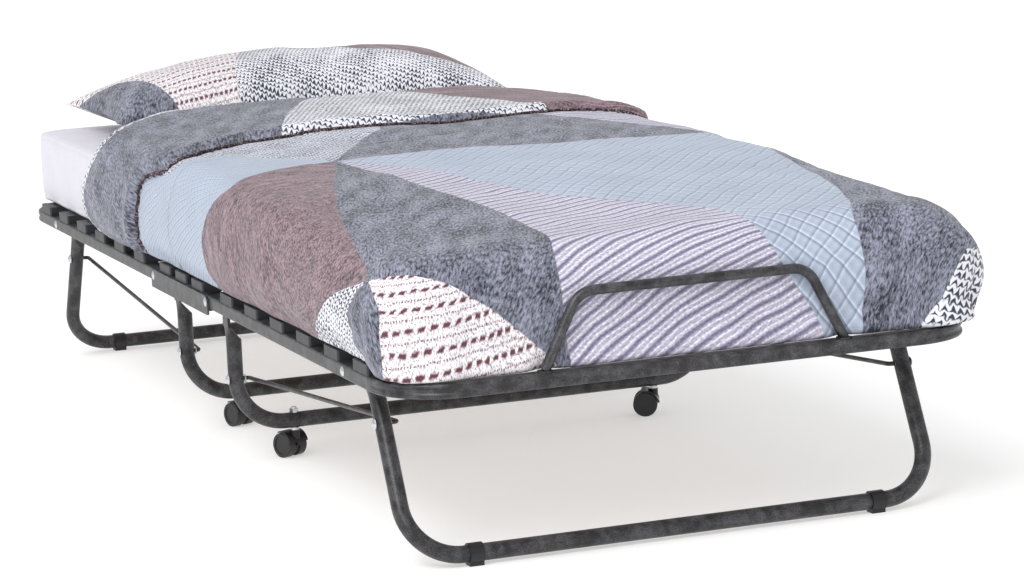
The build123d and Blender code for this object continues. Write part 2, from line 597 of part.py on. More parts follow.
def pillow():
    """The pillow, as a plain cushion shape."""
    bottom = MATTRESS_TOP + SOFT_GAP
    body = block(-PILLOW_W / 2, PILLOW_W / 2, PILLOW_Y - PILLOW_L / 2, PILLOW_Y + PILLOW_L / 2, bottom, bottom + PILLOW_T)
    body = fillet(body.edges().filter_by(Axis.Z), 60)
    return fillet([e for e in body.edges() if e.center().Z > bottom + PILLOW_T - 1], 45)


def main():
    os.makedirs("parts", exist_ok=True)
    for end_name, end in ENDS.items():
        save(f"{end_name}_frame", half_frame(end))
        save(f"{end_name}_leg", end_leg(end))
        save(f"{end_name}_leg_clips", foot_clips(end))
        save(f"{end_name}_leg_bolts", leg_bolts(end))
        save(f"{end_name}_leg_washers", leg_washers(end))
        save(f"{end_name}_brace_rods", brace_rods(end))
        save(f"{end_name}_rod_caps", rod_caps(end))
        save(f"{end_name}_rod_pins", rod_pins(end))
        save(f"{end_name}_centre_leg", centre_leg(end))
        save(f"{end_name}_bow", bow(end))
        places = [end * y for y in HALF_SLATS]
        save(f"{end_name}_slat_holders", holders(places))
        for number, y in enumerate(places, 1):
            save(f"{end_name}_slat_{number}", slat(y))
        save(f"{end_name}_mattress", mattress_half(end))
        save(f"{end_name}_mattress_middle", mattress_middle(end))
        save(f"{end_name}_duvet", duvet(end))
    for side_name, side in SIDES.items():
        save(f"{side_name}_channel", channel(side))
        save(f"{side_name}_centre_rail", centre_rail(side))
    save("centre_slats", group([slat(y) for y in CENTRE_SLATS]))
    save("centre_slat_holders", holders(CENTRE_SLATS))
    save("middle_rivets", middle_rivets())
    for name in CASTOR_HEADINGS:
        save(f"{name}_castor_hood", castor_hood(name))
        save(f"{name}_castor_wheels", castor_wheels(name))
    save("castor_stems", castor_stems())
    save("castor_nuts", castor_nuts())
    save("pillow", pillow())
    pin_y, pin_z = rod_pin_place(1)
    print(f"leg pivot y {LEG_PIVOT_Y:.2f} z {LEG_PIVOT_Z:.2f}, rod pin y {pin_y:.2f} z {pin_z:.2f}")


main()
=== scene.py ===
"""Looks of the folding cot: powder-coated frame, plywood slats, white mattress, patchwork duvet and pillow.

Every length in the classes is in millimetres unless its name says otherwise; meshes are made in metres.
The foot of the cot is at -Y, its head at +Y, and it stands on Z = 0.
"""
import json
import logging
import math
from dataclasses import dataclass, field
from enum import Enum
from typing import Dict, List, Sequence, Tuple

import bmesh
import bpy
import numpy as np
from mathutils import Matrix, Vector, noise

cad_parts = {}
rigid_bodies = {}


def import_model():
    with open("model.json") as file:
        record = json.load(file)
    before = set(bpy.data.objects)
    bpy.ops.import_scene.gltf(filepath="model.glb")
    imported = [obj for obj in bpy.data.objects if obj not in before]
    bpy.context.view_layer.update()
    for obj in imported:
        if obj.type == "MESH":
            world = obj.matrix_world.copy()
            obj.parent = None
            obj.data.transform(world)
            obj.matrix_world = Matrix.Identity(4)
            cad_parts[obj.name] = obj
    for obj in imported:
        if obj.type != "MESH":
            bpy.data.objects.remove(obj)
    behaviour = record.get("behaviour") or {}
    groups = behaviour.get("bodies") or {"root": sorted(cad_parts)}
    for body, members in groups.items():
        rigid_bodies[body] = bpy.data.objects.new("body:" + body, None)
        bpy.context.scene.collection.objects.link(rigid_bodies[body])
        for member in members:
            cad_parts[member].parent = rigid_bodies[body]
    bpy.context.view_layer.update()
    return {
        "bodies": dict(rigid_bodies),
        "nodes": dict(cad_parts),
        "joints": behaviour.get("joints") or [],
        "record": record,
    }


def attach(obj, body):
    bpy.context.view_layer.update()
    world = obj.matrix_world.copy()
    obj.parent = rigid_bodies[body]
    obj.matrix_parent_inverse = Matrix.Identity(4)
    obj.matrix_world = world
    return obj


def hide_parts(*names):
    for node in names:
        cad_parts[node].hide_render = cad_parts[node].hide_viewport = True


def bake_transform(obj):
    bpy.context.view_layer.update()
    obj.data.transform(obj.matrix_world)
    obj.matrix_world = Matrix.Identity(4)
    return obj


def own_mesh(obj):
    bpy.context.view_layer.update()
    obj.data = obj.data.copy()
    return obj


LOG = logging.getLogger("folding_cot")
MM = 0.001
Point2 = Tuple[float, float]


class Fabric(Enum):
    """The cloths of the patchwork, by the name of the mask that marks each one."""

    SLATE = "slate"
    WAFFLE = "waffle"
    RIB = "rib"
    DASH = "dash"
    CHUNKY = "chunky"
    LIGHT_KNIT = "light_knit"
    MAUVE = "mauve"
    QUILT = "quilt"


def linear(hex_colour: str) -> Tuple[float, float, float, float]:
    """Turns an sRGB hex colour into a linear one.

    Args:
        hex_colour: six hex digits with a leading #.

    Returns:
        Red, green, blue and an alpha of 1.
    """
    values = [int(hex_colour[i:i + 2], 16) / 255 for i in (1, 3, 5)]
    turned = [v / 12.92 if v <= 0.04045 else ((v + 0.055) / 1.055) ** 2.4 for v in values]
    return (turned[0], turned[1], turned[2], 1.0)


def add(tree: bpy.types.NodeTree, kind: str, links: Dict[object, object] = None,
        **settings: object) -> bpy.types.Node:
    """Adds a node with its settings and links.

    Args:
        tree: the node tree.
        kind: the node's type name.
        links: input (index or name) to an output socket, or to a plain value.
        settings: properties of the node itself.

    Returns:
        The new node.
    """
    node = tree.nodes.new(kind)
    for name, value in settings.items():
        setattr(node, name, value)
    for key, value in (links or {}).items():
        if isinstance(value, bpy.types.NodeSocket):
            tree.links.new(value, node.inputs[key])
        else:
            node.inputs[key].default_value = value
    return node


def smoothstep(x: np.ndarray) -> np.ndarray:
    """Smooth rise from 0 to 1 over x from 0 to 1."""
    x = np.clip(x, 0.0, 1.0)
    return x * x * (3 - 2 * x)


def noise_field(points: np.ndarray, size: float, seed: float, octaves: int = 2) -> np.ndarray:
    """Smooth noise of about -1 to 1.

    Args:
        points: N by 3 positions.
        size: distance over which the noise changes, in the points' unit.
        seed: offset that picks another part of the noise.
        octaves: how many finer layers are added.

    Returns:
        N values.
    """
    out = np.zeros(len(points))
    for octave in range(octaves):
        scale = 2 ** octave / size
        for k, p in enumerate(points):
            out[k] += noise.noise(Vector((p[0] * scale + seed, p[1] * scale - seed,
                                          p[2] * scale + 2 * seed))) / 2 ** octave
    return out


# ---------------------------------------------------------------- finishes
@dataclass(frozen=True)
class PowderCoat:
    """Fine-textured epoxy powder coat on steel tube: dull charcoal with a pebbled skin and a soft sheen."""

    name: str = "charcoal_powder_coat"
    dark: str = "#19191a"
    light: str = "#525256"
    grain_mm: float = 1.6

    def make(self) -> bpy.types.Material:
        """Builds the material."""
        material, tree, shader = new_material(self.name)
        where = add(tree, "ShaderNodeTexCoord").outputs["Object"]
        grit = add(tree, "ShaderNodeTexNoise",
                   {"Vector": where, "Scale": 1 / (self.grain_mm * MM), "Detail": 3.0})
        cloud = add(tree, "ShaderNodeTexNoise", {"Vector": where, "Scale": 60.0, "Detail": 2.0})
        both = add(tree, "ShaderNodeMath", {0: grit.outputs["Fac"], 1: cloud.outputs["Fac"]},
                   operation="MULTIPLY")
        ramp = add(tree, "ShaderNodeValToRGB", {"Fac": both.outputs[0]})
        ramp.color_ramp.elements[0].position, ramp.color_ramp.elements[0].color = 0.18, linear(self.dark)
        ramp.color_ramp.elements[1].position, ramp.color_ramp.elements[1].color = 0.42, linear(self.light)
        tree.links.new(ramp.outputs["Color"], shader.inputs["Base Color"])
        rough = add(tree, "ShaderNodeMapRange",
                    {"Value": grit.outputs["Fac"], "To Min": 0.26, "To Max": 0.50})
        tree.links.new(rough.outputs["Result"], shader.inputs["Roughness"])
        bump = add(tree, "ShaderNodeBump",
                   {"Height": grit.outputs["Fac"], "Strength": 0.45, "Distance": 0.0006})
        tree.links.new(bump.outputs["Normal"], shader.inputs["Normal"])
        return material


@dataclass(frozen=True)
class Zinc:
    """Bright zinc plate on rivets, pins and nuts: pale silver with faint clouding."""

    name: str = "bright_zinc_plate"
    colour: str = "#d6d7da"

    def make(self) -> bpy.types.Material:
        """Builds the material."""
        material, tree, shader = new_material(self.name)
        where = add(tree, "ShaderNodeTexCoord").outputs["Object"]
        cloud = add(tree, "ShaderNodeTexNoise", {"Vector": where, "Scale": 350.0, "Detail": 3.0})
        tint = add(tree, "ShaderNodeMix", {0: cloud.outputs["Fac"], 6: linear("#bfc1c6"),
                                           7: linear("#e6e7ea")}, data_type="RGBA")
        tree.links.new(tint.outputs[2], shader.inputs["Base Color"])
        rough = add(tree, "ShaderNodeMapRange",
                    {"Value": cloud.outputs["Fac"], "To Min": 0.2, "To Max": 0.42})
        tree.links.new(rough.outputs["Result"], shader.inputs["Roughness"])
        shader.inputs["Metallic"].default_value = 1.0
        return material


@dataclass(frozen=True)
class Moulded:
    """Injection-moulded plastic with a fine spark-eroded skin."""

    name: str
    dark: str
    light: str
    roughness: float = 0.5

    def make(self) -> bpy.types.Material:
        """Builds the material."""
        material, tree, shader = new_material(self.name)
        where = add(tree, "ShaderNodeTexCoord").outputs["Object"]
        skin = add(tree, "ShaderNodeTexNoise", {"Vector": where, "Scale": 900.0, "Detail": 2.0})
        patch = add(tree, "ShaderNodeTexNoise", {"Vector": where, "Scale": 45.0, "Detail": 3.0})
        tint = add(tree, "ShaderNodeMix", {0: patch.outputs["Fac"], 6: linear(self.dark),
                                           7: linear(self.light)}, data_type="RGBA")
        tree.links.new(tint.outputs[2], shader.inputs["Base Color"])
        rough = add(tree, "ShaderNodeMapRange",
                    {"Value": patch.outputs["Fac"], "To Min": self.roughness - 0.1,
                                                "To Max": self.roughness + 0.1})
        tree.links.new(rough.outputs["Result"], shader.inputs["Roughness"])
        bump = add(tree, "ShaderNodeBump",
                   {"Height": skin.outputs["Fac"], "Strength": 0.2, "Distance": 0.0003})
        tree.links.new(bump.outputs["Normal"], shader.inputs["Normal"])
        return material


@dataclass(frozen=True)
class Plywood:
    """Clear-lacquered beech plywood: warm straw brown, long grain along X and darker ply lines on the
    edges."""

    name: str = "beech_plywood"
    dark: str = "#b39a78"
    light: str = "#dccbaa"
    ply_mm: float = 1.3

    def make(self) -> bpy.types.Material:
        """Builds the material."""
        material, tree, shader = new_material(self.name)
        where = add(tree, "ShaderNodeTexCoord").outputs["Object"]
        along = add(tree, "ShaderNodeMapping", {"Vector": where, "Scale": (3.0, 60.0, 20.0)})
        grain = add(tree, "ShaderNodeTexNoise",
                    {"Vector": along.outputs[0], "Scale": 3.5, "Detail": 6.0, "Distortion": 0.4})
        fine = add(tree, "ShaderNodeMapping", {"Vector": where, "Scale": (30.0, 900.0, 300.0)})
        pores = add(tree, "ShaderNodeTexNoise", {"Vector": fine.outputs[0], "Scale": 1.0, "Detail": 2.0})
        plies = add(tree, "ShaderNodeTexWave", {"Vector": where, "Scale": 0.32 / (self.ply_mm * MM) / 3.1},
                    bands_direction="Z", wave_profile="SAW")
        mixed = add(tree, "ShaderNodeMath", {0: grain.outputs["Fac"], 1: pores.outputs["Fac"]},
                    operation="MULTIPLY")
        ramp = add(tree, "ShaderNodeValToRGB", {"Fac": mixed.outputs[0]})
        ramp.color_ramp.elements[0].position, ramp.color_ramp.elements[0].color = 0.15, linear(self.dark)
        ramp.color_ramp.elements[1].position, ramp.color_ramp.elements[1].color = 0.4, linear(self.light)
        edge = add(tree, "ShaderNodeMath", {0: plies.outputs["Fac"], 1: 0.25}, operation="MULTIPLY")
        dark = add(tree, "ShaderNodeMix", {0: edge.outputs[0], 6: ramp.outputs["Color"],
                                           7: linear("#7d5c36")}, data_type="RGBA")
        tree.links.new(dark.outputs[2], shader.inputs["Base Color"])
        shader.inputs["Roughness"].default_value = 0.42
        bump = add(tree, "ShaderNodeBump",
                   {"Height": pores.outputs["Fac"], "Strength": 0.15, "Distance": 0.0003})
        tree.links.new(bump.outputs["Normal"], shader.inputs["Normal"])
        return material


def new_material(name: str) -> Tuple[bpy.types.Material, bpy.types.NodeTree, bpy.types.Node]:
    """Makes an empty node material.

    Args:
        name: the material's name.

    Returns:
        The material, its tree and its Principled shader, already linked to the output.
    """
    material = bpy.data.materials.new(name)
    material.use_nodes = True
    tree = material.node_tree
    tree.nodes.clear()
    shader = tree.nodes.new("ShaderNodeBsdfPrincipled")
    output = tree.nodes.new("ShaderNodeOutputMaterial")
    tree.links.new(shader.outputs["BSDF"], output.inputs["Surface"])
    return material, tree, shader


@dataclass(frozen=True)
class Ticking:
    """White polyester ticking of the mattress: a fine plain weave with a faint knitted quilting pattern."""

    name: str = "white_ticking"
    shade: str = "#c4c2cc"
    white: str = "#dddbe4"
    thread_mm: float = 2.2    # drawn coarser than the real 0.5 mm so that it shows

    def make(self) -> bpy.types.Material:
        """Builds the material."""
        material, tree, shader = new_material(self.name)
        where = add(tree, "ShaderNodeTexCoord").outputs["Object"]
        cells = add(tree, "ShaderNodeTexVoronoi", {"Vector": where, "Scale": 1 / (self.thread_mm * MM)})
        cloud = add(tree, "ShaderNodeTexNoise", {"Vector": where, "Scale": 30.0, "Detail": 4.0})
        mixed = add(tree, "ShaderNodeMath", {0: cells.outputs["Distance"], 1: cloud.outputs["Fac"]},
                    operation="MULTIPLY")
        tint = add(tree, "ShaderNodeMix", {0: mixed.outputs[0], 6: linear(self.white),
                                           7: linear(self.shade)}, data_type="RGBA")
        tree.links.new(tint.outputs[2], shader.inputs["Base Color"])
        shader.inputs["Roughness"].default_value = 0.85
        shader.inputs["Sheen Weight"].default_value = 0.25
        bump = add(tree, "ShaderNodeBump", {"Height": cells.outputs["Distance"], "Strength": 0.25,
                                            "Distance": 0.0008})
        tree.links.new(bump.outputs["Normal"], shader.inputs["Normal"])
        return material


@dataclass(frozen=True)
class Yarn:
    """Dark burgundy and off-white twisted yarn of the piping: mottled along each strand, dull and a little
    fuzzy."""

    name: str = "piping_yarn"
    dark: str = "#33242a"
    light: str = "#a08d92"
    fleck_mm: float = 3.0

    def make(self) -> bpy.types.Material:
        """Builds the material."""
        material, tree, shader = new_material(self.name)
        where = add(tree, "ShaderNodeTexCoord").outputs["Object"]
        fleck = add(tree, "ShaderNodeTexNoise",
                    {"Vector": where, "Scale": 1 / (self.fleck_mm * MM), "Detail": 2.0})
        ramp = add(tree, "ShaderNodeValToRGB", {"Fac": fleck.outputs["Fac"]})
        ramp.color_ramp.elements[0].position, ramp.color_ramp.elements[0].color = 0.5, linear(self.dark)
        ramp.color_ramp.elements[1].position, ramp.color_ramp.elements[1].color = 0.68, linear(self.light)
        tree.links.new(ramp.outputs["Color"], shader.inputs["Base Color"])
        shader.inputs["Roughness"].default_value = 0.9
        bump = add(tree, "ShaderNodeBump",
                   {"Height": fleck.outputs["Fac"], "Strength": 0.4, "Distance": 0.0008})
        tree.links.new(bump.outputs["Normal"], shader.inputs["Normal"])
        return material


@dataclass(frozen=True)
class Patchwork:
    """Printed cotton patchwork of knits: eight fabrics, each placed by its own mask on the cloth.

    The cloth's flat coordinates, in metres, are its UV map, so every knit follows the cloth round its edges.
    """

    name: str = "patchwork_print"
    rib_mm: float = 18.0

    def coordinates(self, tree: bpy.types.NodeTree, turn: float, scale: Tuple[float, float],
                    uv_map: str = "cloth") -> bpy.types.NodeSocket:
        """Cloth coordinates turned and scaled.

        Args:
            tree: the node tree.
            turn: turn in degrees.
            scale: how many repeats per metre along each axis.
            uv_map: the UV map that is read.

        Returns:
            The vector output.
        """
        uv = add(tree, "ShaderNodeUVMap", uv_map=uv_map).outputs["UV"]
        turned = add(tree, "ShaderNodeVectorRotate", {"Vector": uv, "Angle": math.radians(turn)},
                     rotation_type="Z_AXIS")
        scaled = add(tree, "ShaderNodeVectorMath", {0: turned.outputs[0], 1: (scale[0], scale[1], 1.0)},
                     operation="MULTIPLY")
        return scaled.outputs[0]

    def melange(self, tree: bpy.types.NodeTree, dark: str, light: str, turn: float,
                streak_mm: Tuple[float, float], spread: Tuple[float, float] = (0.36, 0.64)) -> Tuple[object,
                    object]:
        """Heathered yarn: fine streaks that lean one way, over slow clouds.

        Returns:
            Its colour and height outputs.
        """
        fine = add(tree, "ShaderNodeTexNoise", {
            "Vector": self.coordinates(tree, turn, (1000 / streak_mm[0], 1000 / streak_mm[1])),
            "Scale": 1.0, "Detail": 3.0,
            "Roughness": 0.65})
        slow = add(tree, "ShaderNodeTexNoise", {"Vector": self.coordinates(tree, turn, (40.0, 12.0)),
                                                "Scale": 1.0, "Detail": 2.0})
        both = add(tree, "ShaderNodeMath", {0: fine.outputs["Fac"], 1: 0.72}, operation="MULTIPLY")
        total = add(tree, "ShaderNodeMath", {0: slow.outputs["Fac"], 1: 0.28, 2: both.outputs[0]},
                    operation="MULTIPLY_ADD")
        ramp = add(tree, "ShaderNodeValToRGB", {"Fac": total.outputs[0]})
        ramp.color_ramp.elements[0].position, ramp.color_ramp.elements[0].color = spread[0], linear(dark)
        ramp.color_ramp.elements[1].position, ramp.color_ramp.elements[1].color = spread[1], linear(light)
        return ramp.outputs["Color"], fine.outputs["Fac"]

    def diamonds(self, tree: bpy.types.NodeTree, base: str, line: str, light: str,
                 size_mm: Tuple[float, float],
                 turn: float) -> Tuple[object, object]:
        """Waffle relief: crossed ridges, each with a painted highlight on one side and painted shade on the
        other.

        Returns:
            Its colour and height outputs.
        """
        where = self.coordinates(tree, turn, (1000 / size_mm[0], 1000 / size_mm[1]))
        bend = add(tree, "ShaderNodeTexNoise", {"Vector": where, "Scale": 0.5, "Detail": 1.0})
        shift = add(tree, "ShaderNodeVectorMath", {0: bend.outputs["Color"], "Scale": 0.35},
                    operation="SCALE")
        moved = add(tree, "ShaderNodeVectorMath", {0: where, 1: shift.outputs[0]}, operation="ADD")
        parts = add(tree, "ShaderNodeSeparateXYZ", {0: moved.outputs[0]})
        ridge_highlight_and_shade, height = None, None
        # Each float curve paints a highlight just after its ridge line and shade just before it.
        for operation, low, high in (("ADD", 0.70, 1.28), ("SUBTRACT", 0.78, 1.18)):
            run = add(tree, "ShaderNodeMath", {0: parts.outputs[0], 1: parts.outputs[1]}, operation=operation)
            saw = add(tree, "ShaderNodeMath", {0: run.outputs[0]}, operation="FRACT")
            ramp = add(tree, "ShaderNodeFloatCurve", {"Value": saw.outputs[0]})
            points = ramp.mapping.curves[0].points
            points[0].location, points[1].location = (0.0, high / 1.3), (1.0, low / 1.3)
            for place in ((0.07, high / 1.3), (0.20, 1 / 1.3), (0.78, 1 / 1.3), (0.90, low / 1.3)):
                points.new(*place)
            ramp.mapping.update()
            edge = add(tree, "ShaderNodeMath", {0: run.outputs[0], 1: 0.5}, operation="PINGPONG")
            if ridge_highlight_and_shade is None:
                ridge_highlight_and_shade, height = ramp.outputs[0], edge.outputs[0]
            else:
                ridge_highlight_and_shade = add(tree, "ShaderNodeMath", {0: ridge_highlight_and_shade, 1: ramp.outputs[0]},
                             operation="MULTIPLY").outputs[0]
                height = add(tree, "ShaderNodeMath", {0: height, 1: edge.outputs[0]},
                             operation="MINIMUM").outputs[0]
        yarn = add(tree, "ShaderNodeTexNoise", {"Vector": self.coordinates(tree, 0, (380.0, 380.0)),
                                                "Scale": 1.0, "Detail": 2.0})
        tint = add(tree, "ShaderNodeMix", {0: yarn.outputs["Fac"], 6: linear(line), 7: linear(light)},
                   data_type="RGBA")
        even = add(tree, "ShaderNodeMix", {0: 0.5, 6: tint.outputs[2], 7: linear(base)}, data_type="RGBA")
        # The painted ridge highlight and shade scale the cloth colour up and down.
        full = add(tree, "ShaderNodeMath", {0: ridge_highlight_and_shade, 1: 1.69}, operation="MULTIPLY")
        done = add(tree, "ShaderNodeVectorMath", {0: even.outputs[2], "Scale": full.outputs[0]},
                   operation="SCALE")
        dome = add(tree, "ShaderNodeMapRange", {"Value": height, "From Max": 0.25},
                   interpolation_type="SMOOTHSTEP")
        return done.outputs[0], dome.outputs[0]

    def ribs(self, tree: bpy.types.NodeTree, base: str, dark: str, light: str,
             pitch_mm: float) -> Tuple[object, object]:
        """Broad knitted ribs that sweep across the cloth: painted shade in a groove, painted highlights on
        two ridges and rows of small stitches.

        Returns:
            Its colour and height outputs.
        """
        sweep = add(tree, "ShaderNodeAttribute", attribute_name="sweep", attribute_type="GEOMETRY")
        plain = self.coordinates(tree, 0, (1.0, 1.0))
        wobble = add(tree, "ShaderNodeTexNoise", {"Vector": plain, "Scale": 14.0, "Detail": 1.0})
        turns = add(tree, "ShaderNodeMath", {0: sweep.outputs["Fac"], 1: 1 / pitch_mm}, operation="MULTIPLY")
        moved = add(tree, "ShaderNodeMath", {0: wobble.outputs["Fac"], 1: 0.6, 2: turns.outputs[0]},
                    operation="MULTIPLY_ADD")
        saw = add(tree, "ShaderNodeMath", {0: moved.outputs[0]}, operation="FRACT")
        ramp = add(tree, "ShaderNodeValToRGB", {"Fac": saw.outputs[0]})
        # Painted shade: the dark stops along the groove. Painted highlights: the two light stops on the
        # ridges.
        stops = [(0.0, dark), (0.07, dark), (0.17, base), (0.34, light), (0.44, base), (0.60, base),
                 (0.70, light), (0.80, base),
                 (0.93, dark)]
        elements = ramp.color_ramp.elements
        while len(elements) < len(stops):
            elements.new(0.5)
        for element, (place, colour) in zip(elements, stops):
            element.position, element.color = place, linear(colour)
        high = add(tree, "ShaderNodeMath", {0: saw.outputs[0], 1: 0.5}, operation="PINGPONG")
        stitch = add(tree, "ShaderNodeTexNoise",
                     {"Vector": self.coordinates(tree, -18, (240.0, 420.0)), "Scale": 1.0, "Detail": 2.0})
        soft = add(tree, "ShaderNodeMapRange",
                   {"Value": stitch.outputs["Fac"], "From Min": 0.35, "From Max": 0.65,
                                               "To Min": 0.7, "To Max": 1.24})
        done = add(tree, "ShaderNodeVectorMath", {0: ramp.outputs["Color"], "Scale": soft.outputs[0]},
                   operation="SCALE")
        return done.outputs[0], high.outputs[0]

    def stitches(self, tree: bpy.types.NodeTree, yarn: str, gap: str, size_mm: Tuple[float, float],
                 turn: float,
                 share: float) -> Tuple[object, object]:
        """Chunky knit: columns of leaning light stitches with painted shade in the valleys between them.

        Args:
            tree: the node tree.
            yarn: colour of the stitches.
            gap: colour of the painted shade in the valleys between the stitches.
            size_mm: width of a column and height of a stitch.
            turn: way of the columns in degrees.
            share: how much of the cloth lies in painted shade, from 0 to 1.

        Returns:
            Its colour and height outputs.
        """
        where = self.coordinates(tree, turn, (1000 / size_mm[0], 1000 / size_mm[1]), "level")
        rough = add(tree, "ShaderNodeTexNoise", {"Vector": where, "Scale": 0.8, "Detail": 2.0})
        parts = add(tree, "ShaderNodeSeparateXYZ", {0: where})
        column = add(tree, "ShaderNodeMath", {0: parts.outputs[0], 1: 0.5}, operation="PINGPONG")
        leaning = add(tree, "ShaderNodeMath", {0: column.outputs[0], 1: 1.1, 2: parts.outputs[1]},
                      operation="MULTIPLY_ADD")
        shaken = add(tree, "ShaderNodeMath", {0: rough.outputs["Fac"], 1: 1.6, 2: leaning.outputs[0]},
                     operation="MULTIPLY_ADD")
        row = add(tree, "ShaderNodeMath", {0: shaken.outputs[0], 1: 0.5}, operation="PINGPONG")
        valley = add(tree, "ShaderNodeMath", {0: column.outputs[0], 1: 0.55, 2: row.outputs[0]},
                     operation="MULTIPLY_ADD")
        slow = add(tree, "ShaderNodeTexNoise", {"Vector": where, "Scale": 0.11, "Detail": 2.0})
        uneven = add(tree, "ShaderNodeMath", {0: slow.outputs["Fac"], 1: 0.45, 2: valley.outputs[0]},
                     operation="MULTIPLY_ADD")
        low = 0.22 + 0.45 * share
        form = add(tree, "ShaderNodeMapRange",
                   {"Value": uneven.outputs[0], "From Min": low, "From Max": low + 0.22},
                   interpolation_type="SMOOTHSTEP")
        # Painted shade: the gap colour fills the valleys, where the stitch height is lowest.
        colour = add(tree, "ShaderNodeMix", {0: form.outputs[0], 6: linear(gap), 7: linear(yarn)},
                     data_type="RGBA")
        return colour.outputs[2], form.outputs[0]

    def dashes(self, tree: bpy.types.NodeTree, dash: str, turn: float,
               pitch_mm: Tuple[float, float]) -> Tuple[object, object]:
        """Off-white knit with rows of slanted burgundy stitches and a thin dotted line between the rows.

        Args:
            tree: the node tree.
            dash: colour of the stitches.
            turn: way of the rows in degrees.
            pitch_mm: how far apart the stitches and the rows are.

        Returns:
            Its colour and height outputs.
        """
        where = self.coordinates(tree, turn, (1000 / pitch_mm[0], 1000 / pitch_mm[1]), "level")
        rough = add(tree, "ShaderNodeTexNoise", {"Vector": where, "Scale": 2.6, "Detail": 3.0})
        bend = add(tree, "ShaderNodeVectorMath", {0: rough.outputs["Color"], "Scale": 0.3}, operation="SCALE")
        moved = add(tree, "ShaderNodeVectorMath", {0: where, 1: bend.outputs[0]}, operation="ADD")
        parts = add(tree, "ShaderNodeSeparateXYZ", {0: moved.outputs[0]})
        row = add(tree, "ShaderNodeMath", {0: parts.outputs[1]}, operation="FRACT")
        slant = add(tree, "ShaderNodeMath", {0: row.outputs[0], 1: -1.3, 2: parts.outputs[0]},
                    operation="MULTIPLY_ADD")
        along = add(tree, "ShaderNodeMath", {0: slant.outputs[0], 1: 0.5}, operation="PINGPONG")
        across = add(tree, "ShaderNodeMath", {0: row.outputs[0], 1: 0.5}, operation="SUBTRACT")
        far = add(tree, "ShaderNodeMath", {0: across.outputs[0]}, operation="ABSOLUTE")
        thick = add(tree, "ShaderNodeMapRange", {"Value": far.outputs[0], "From Min": 0.06, "From Max": 0.18,
                                                "To Min": 1.0, "To Max": 0.0})
        long = add(tree, "ShaderNodeMapRange",
                   {"Value": along.outputs[0], "From Min": 0.12, "From Max": 0.26})
        mark = add(tree, "ShaderNodeMath", {0: thick.outputs[0], 1: long.outputs[0]}, operation="MULTIPLY")
        thin = add(tree, "ShaderNodeMapRange", {"Value": far.outputs[0], "From Min": 0.43, "From Max": 0.47})
        small = add(tree, "ShaderNodeMath", {0: slant.outputs[0], 1: 4.0}, operation="MULTIPLY")
        dots = add(tree, "ShaderNodeMath", {0: small.outputs[0], 1: 0.5}, operation="PINGPONG")
        shown = add(tree, "ShaderNodeMapRange",
                    {"Value": dots.outputs[0], "From Min": 0.18, "From Max": 0.3, "To Max": 0.85})
        line = add(tree, "ShaderNodeMath", {0: thin.outputs[0], 1: shown.outputs[0]}, operation="MULTIPLY")
        total = add(tree, "ShaderNodeMath", {0: mark.outputs[0], 1: line.outputs[0]}, operation="MAXIMUM")
        yarn = add(tree, "ShaderNodeTexNoise",
                   {"Vector": self.coordinates(tree, turn, (330.0, 190.0)), "Scale": 1.0,
                                               "Detail": 3.0, "Roughness": 0.7})
        ramp = add(tree, "ShaderNodeValToRGB", {"Fac": yarn.outputs["Fac"]})
        ramp.color_ramp.elements[0].position, ramp.color_ramp.elements[0].color = 0.36, linear("#8d7f88")
        ramp.color_ramp.elements[1].position, ramp.color_ramp.elements[1].color = 0.52, linear("#f1edf0")
        colour = add(tree, "ShaderNodeMix", {0: total.outputs[0], 6: ramp.outputs["Color"],
                                             7: linear(dash)}, data_type="RGBA")
        return colour.outputs[2], yarn.outputs["Fac"]

    def swirl(self, tree: bpy.types.NodeTree, dark: str, light: str) -> Tuple[object, object]:
        """Heathered mauve yarn whose streaks run in arcs round a corner of its patch.

        Returns:
            Its colour and height outputs.
        """
        uv = add(tree, "ShaderNodeUVMap", uv_map="cloth").outputs["UV"]
        away = add(tree, "ShaderNodeVectorMath", {0: uv, 1: (0.33, 0.60, 0.0)}, operation="ADD")
        parts = add(tree, "ShaderNodeSeparateXYZ", {0: away.outputs[0]})
        radius = add(tree, "ShaderNodeVectorMath", {0: away.outputs[0]}, operation="LENGTH")
        angle = add(tree, "ShaderNodeMath", {0: parts.outputs[1], 1: parts.outputs[0]}, operation="ARCTAN2")
        grain = []
        for across, along in ((290.0, 20.0), (60.0, 5.0)):
            wide = add(tree, "ShaderNodeMath", {0: radius.outputs["Value"], 1: across}, operation="MULTIPLY")
            long = add(tree, "ShaderNodeMath", {0: angle.outputs[0], 1: along}, operation="MULTIPLY")
            place = add(tree, "ShaderNodeCombineXYZ", {0: wide.outputs[0], 1: long.outputs[0]})
            grain.append(add(tree, "ShaderNodeTexNoise",
                             {"Vector": place.outputs[0], "Scale": 1.0, "Detail": 3.0, "Roughness": 0.6}))
        speck = add(tree, "ShaderNodeTexNoise", {"Vector": self.coordinates(tree, 40, (300.0, 190.0)),
                                                 "Scale": 1.0, "Detail": 2.0})
        first = add(tree, "ShaderNodeMath", {0: grain[0].outputs["Fac"], 1: 0.45}, operation="MULTIPLY")
        second = add(tree, "ShaderNodeMath", {0: grain[1].outputs["Fac"], 1: 0.25, 2: first.outputs[0]},
                     operation="MULTIPLY_ADD")
        total = add(tree, "ShaderNodeMath", {0: speck.outputs["Fac"], 1: 0.30, 2: second.outputs[0]},
                    operation="MULTIPLY_ADD")
        ramp = add(tree, "ShaderNodeValToRGB", {"Fac": total.outputs[0]})
        ramp.color_ramp.elements[0].position, ramp.color_ramp.elements[0].color = 0.41, linear(dark)
        ramp.color_ramp.elements[1].position, ramp.color_ramp.elements[1].color = 0.58, linear(light)
        return ramp.outputs["Color"], grain[0].outputs["Fac"]

